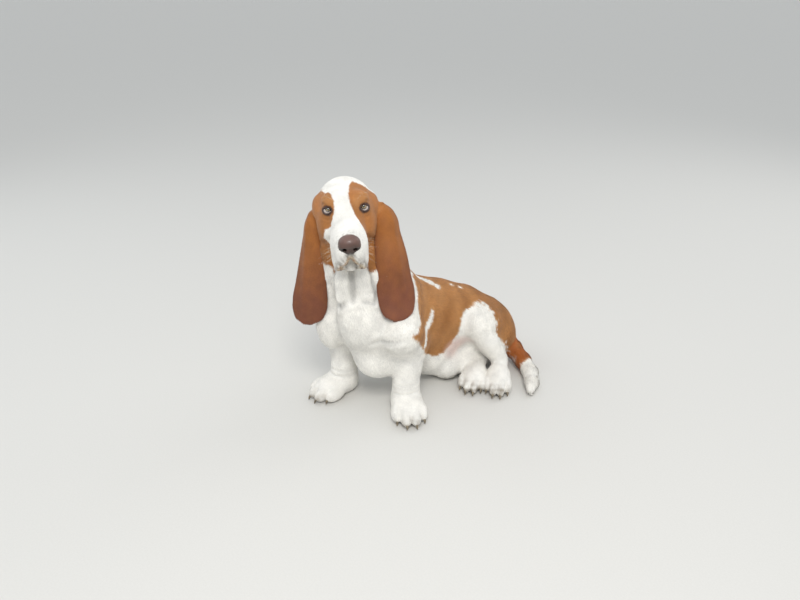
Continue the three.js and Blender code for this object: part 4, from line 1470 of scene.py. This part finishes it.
def unwrap(root, normal, home):
    """Lays the skin out flat: for each part and each way that it faces, one chart, packed in rows"""
    each = np.arange(len(root))
    facing = np.abs(normal).argmax(1)
    chart = home * 6 + facing * 2 + (normal[each, facing] > 0)
    flat = np.stack([root[each, (facing + 1) % 3], root[each, (facing + 2) % 3]], 1)
    names = np.unique(chart)
    low = np.array([flat[chart == c].min(0) for c in names])
    size = np.array([flat[chart == c].max(0) for c in names]) - low
    order = np.argsort(-size[:, 1])
    for width in np.arange(500, 6000, 50.0):
        x = y = tall = 0.0
        place = np.zeros_like(low)
        for i in order:
            if x + size[i, 0] > width:
                x, y, tall = 0.0, y + tall + CHART_GAP, 0.0
            place[i] = x, y
            x += size[i, 0] + CHART_GAP
            tall = max(tall, size[i, 1])
        if y + tall <= width and place[:, 0].max() <= width and size[:, 0].max() <= width:
            break
    at = np.searchsorted(names, chart)
    return (flat - low[at] + place[at]) / width * (1 - 2 * PATCH)


def build_whiskers(material):
    """Fine bent hairs on the muzzle, the chin and over the eyes"""
    rng = np.random.default_rng(5)
    parts = []
    for side in SIDES:
        for row in range(4):
            for place in range(5):
                f = 58 + place * 7 + rng.uniform(-2, 2)
                start = vec(side * (27 - place * 0.6), f, -36 - row * 8 + rng.uniform(-2, 2))
                long = rng.uniform(24, 44) * (0.7 + 0.1 * row)
                f = -0.15 - 0.12 * place + rng.normal() * 0.15
                way = unit(vec(side * 1.0, f, -0.15 - 0.2 * row + rng.normal() * 0.15))
                parts.append(hair_tube(start, way, long, 0.24, rng))
        for i in range(5):
            start = vec(side * (24 + 5 * i), 6 - 5 * i, 22 + 1.0 * i)
            way = unit(vec(side * 0.3, 0.4, 0.9) + rng.normal(size=3) * 0.15)
            parts.append(hair_tube(start, way, rng.uniform(10, 18), 0.2, rng))
    for _ in range(10):
        start = vec(rng.uniform(-14, 14), rng.uniform(60, 78), -100)
        way = unit(vec(rng.normal() * 0.3, 0.4, -1))
        parts.append(hair_tube(start, way, rng.uniform(9, 16), 0.2, rng))
    dress(make_mesh("whiskers", *merged(parts)), material, "coat")


def hair_tube(start, way, long, thick, rng):
    """One hair from a place on the head, sagging a little"""
    t = np.linspace(0, 1, 9)[:, None]
    sag = vec(0, -0.25, -0.35) + rng.normal(size=3) * 0.1
    path = start + way * long * t + sag * long * t**2
    root = HEAD.o + path @ HEAD.rows
    return tube_mesh(root, thick * (1 - 0.85 * t[:, 0]), 4)


# The scene
def add_light(name, place, aim, energy, size, colour=(1, 1, 1)):
    data = bpy.data.lights.new(name, "AREA")
    data.energy, data.size, data.color = energy, size, colour
    lamp = bpy.data.objects.new(name, data)
    bpy.context.scene.collection.objects.link(lamp)
    lamp.location = place
    lamp.rotation_mode = "QUATERNION"
    lamp.rotation_quaternion = (Vector(aim) - Vector(place)).to_track_quat("-Z", "Y")


CAMERA = (877, -976, 900)
CAMERA_TURN, CAMERA_PITCH = 45, 27
LENS = 29.25


def add_camera():
    data = bpy.data.cameras.new("camera")
    data.sensor_width, data.lens = 36.0, LENS
    data.clip_start, data.clip_end = 0.05, 300
    camera = bpy.data.objects.new("camera", data)
    bpy.context.scene.collection.objects.link(camera)
    camera.location = to_metres(CAMERA)
    turn, pitch = np.radians(CAMERA_TURN), np.radians(CAMERA_PITCH)
    aim = Vector((-np.sin(turn) * np.cos(pitch), np.cos(turn) * np.cos(pitch), -np.sin(pitch)))
    camera.rotation_mode = "QUATERNION"
    camera.rotation_quaternion = aim.to_track_quat("-Z", "Y")
    bpy.context.scene.camera = camera


def add_floor():
    mesh = bpy.data.meshes.new("floor")
    mesh.from_pydata([(-60, -60, 0), (60, -60, 0), (60, 60, 0), (-60, 60, 0)], [], [(0, 1, 2, 3)])
    floor = bpy.data.objects.new("floor", mesh)
    bpy.context.scene.collection.objects.link(floor)
    n = Nodes("floor_pale")
    n.colour(n.ramp(n.noise(300.0, 2.0), [(0.3, rgb("d1cfca")), (0.7, rgb("d4d2cd"))]))
    n.set(Roughness=0.8)
    mesh.materials.append(n.material)


def add_world():
    world = bpy.data.worlds.new("world")
    bpy.context.scene.world = world
    world.use_nodes = True
    sky = world.node_tree.nodes["Background"].inputs
    sky["Color"].default_value = (0.92, 0.96, 1.0, 1)
    sky["Strength"].default_value = 0.8


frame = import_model()
ball = np.array([v.co for v in frame["nodes"]["eye_left"].data.vertices]) * 1000
SHIFT = np.unique(ball.round(3), axis=0).mean(0) - eye_centre(1)

add_camera()
add_world()
add_floor()
add_light("key", (1.2, -1.2, 2.4), (0, 0, 0.2), 38, 1.0, (1.0, 0.98, 0.95))
add_light("fill", (-1.8, -1.0, 1.6), (0, 0, 0.25), 8, 1.8, (0.93, 0.97, 1.0))
add_light("back", (0.6, 2.2, 1.8), (0, 0, 0.2), 10, 1.6)

points, faces, group, flow, hair, colour = build_skin()
normals = vertex_normals(points, faces)
# the skin, showing between the tufts, painted a little darker as shade among the hair roots
skin = make_mesh("skin", points, faces, colour * 0.93)
flesh = [n for n in frame["nodes"] if not n.startswith(("claw", "eye", "nose"))]
dress(skin, fur_material("short_coat", 0.80), "coat", *flesh)
build_coat(points, faces, normals, group, flow, hair, colour, fur_material("tufts", 0.9))
build_eyes(eye_material(), cornea_material())
rims = []
for side in SIDES:
    path, a = lid_rim_path(side)
    rims.append(tube_mesh(path, 1.2 + 0.25 * np.abs(np.sin(a)), 10))
rim_skin = plain_material("lid_rim", "2c1c19", "4a302b", 240, 0.4, coat=0.3)
dress(make_mesh("lid_rims", *merged(rims)), rim_skin, "nose_leather")
build_nose(nose_material())
build_claws(plain_material("claw_horn", "5b5144", "93866f", 130, 0.42))
build_whiskers(plain_material("whisker", "cdbfa4", "efe6d4", 300, 0.5, bump=0.02))

bpy.context.scene.view_settings.view_transform = "Standard"
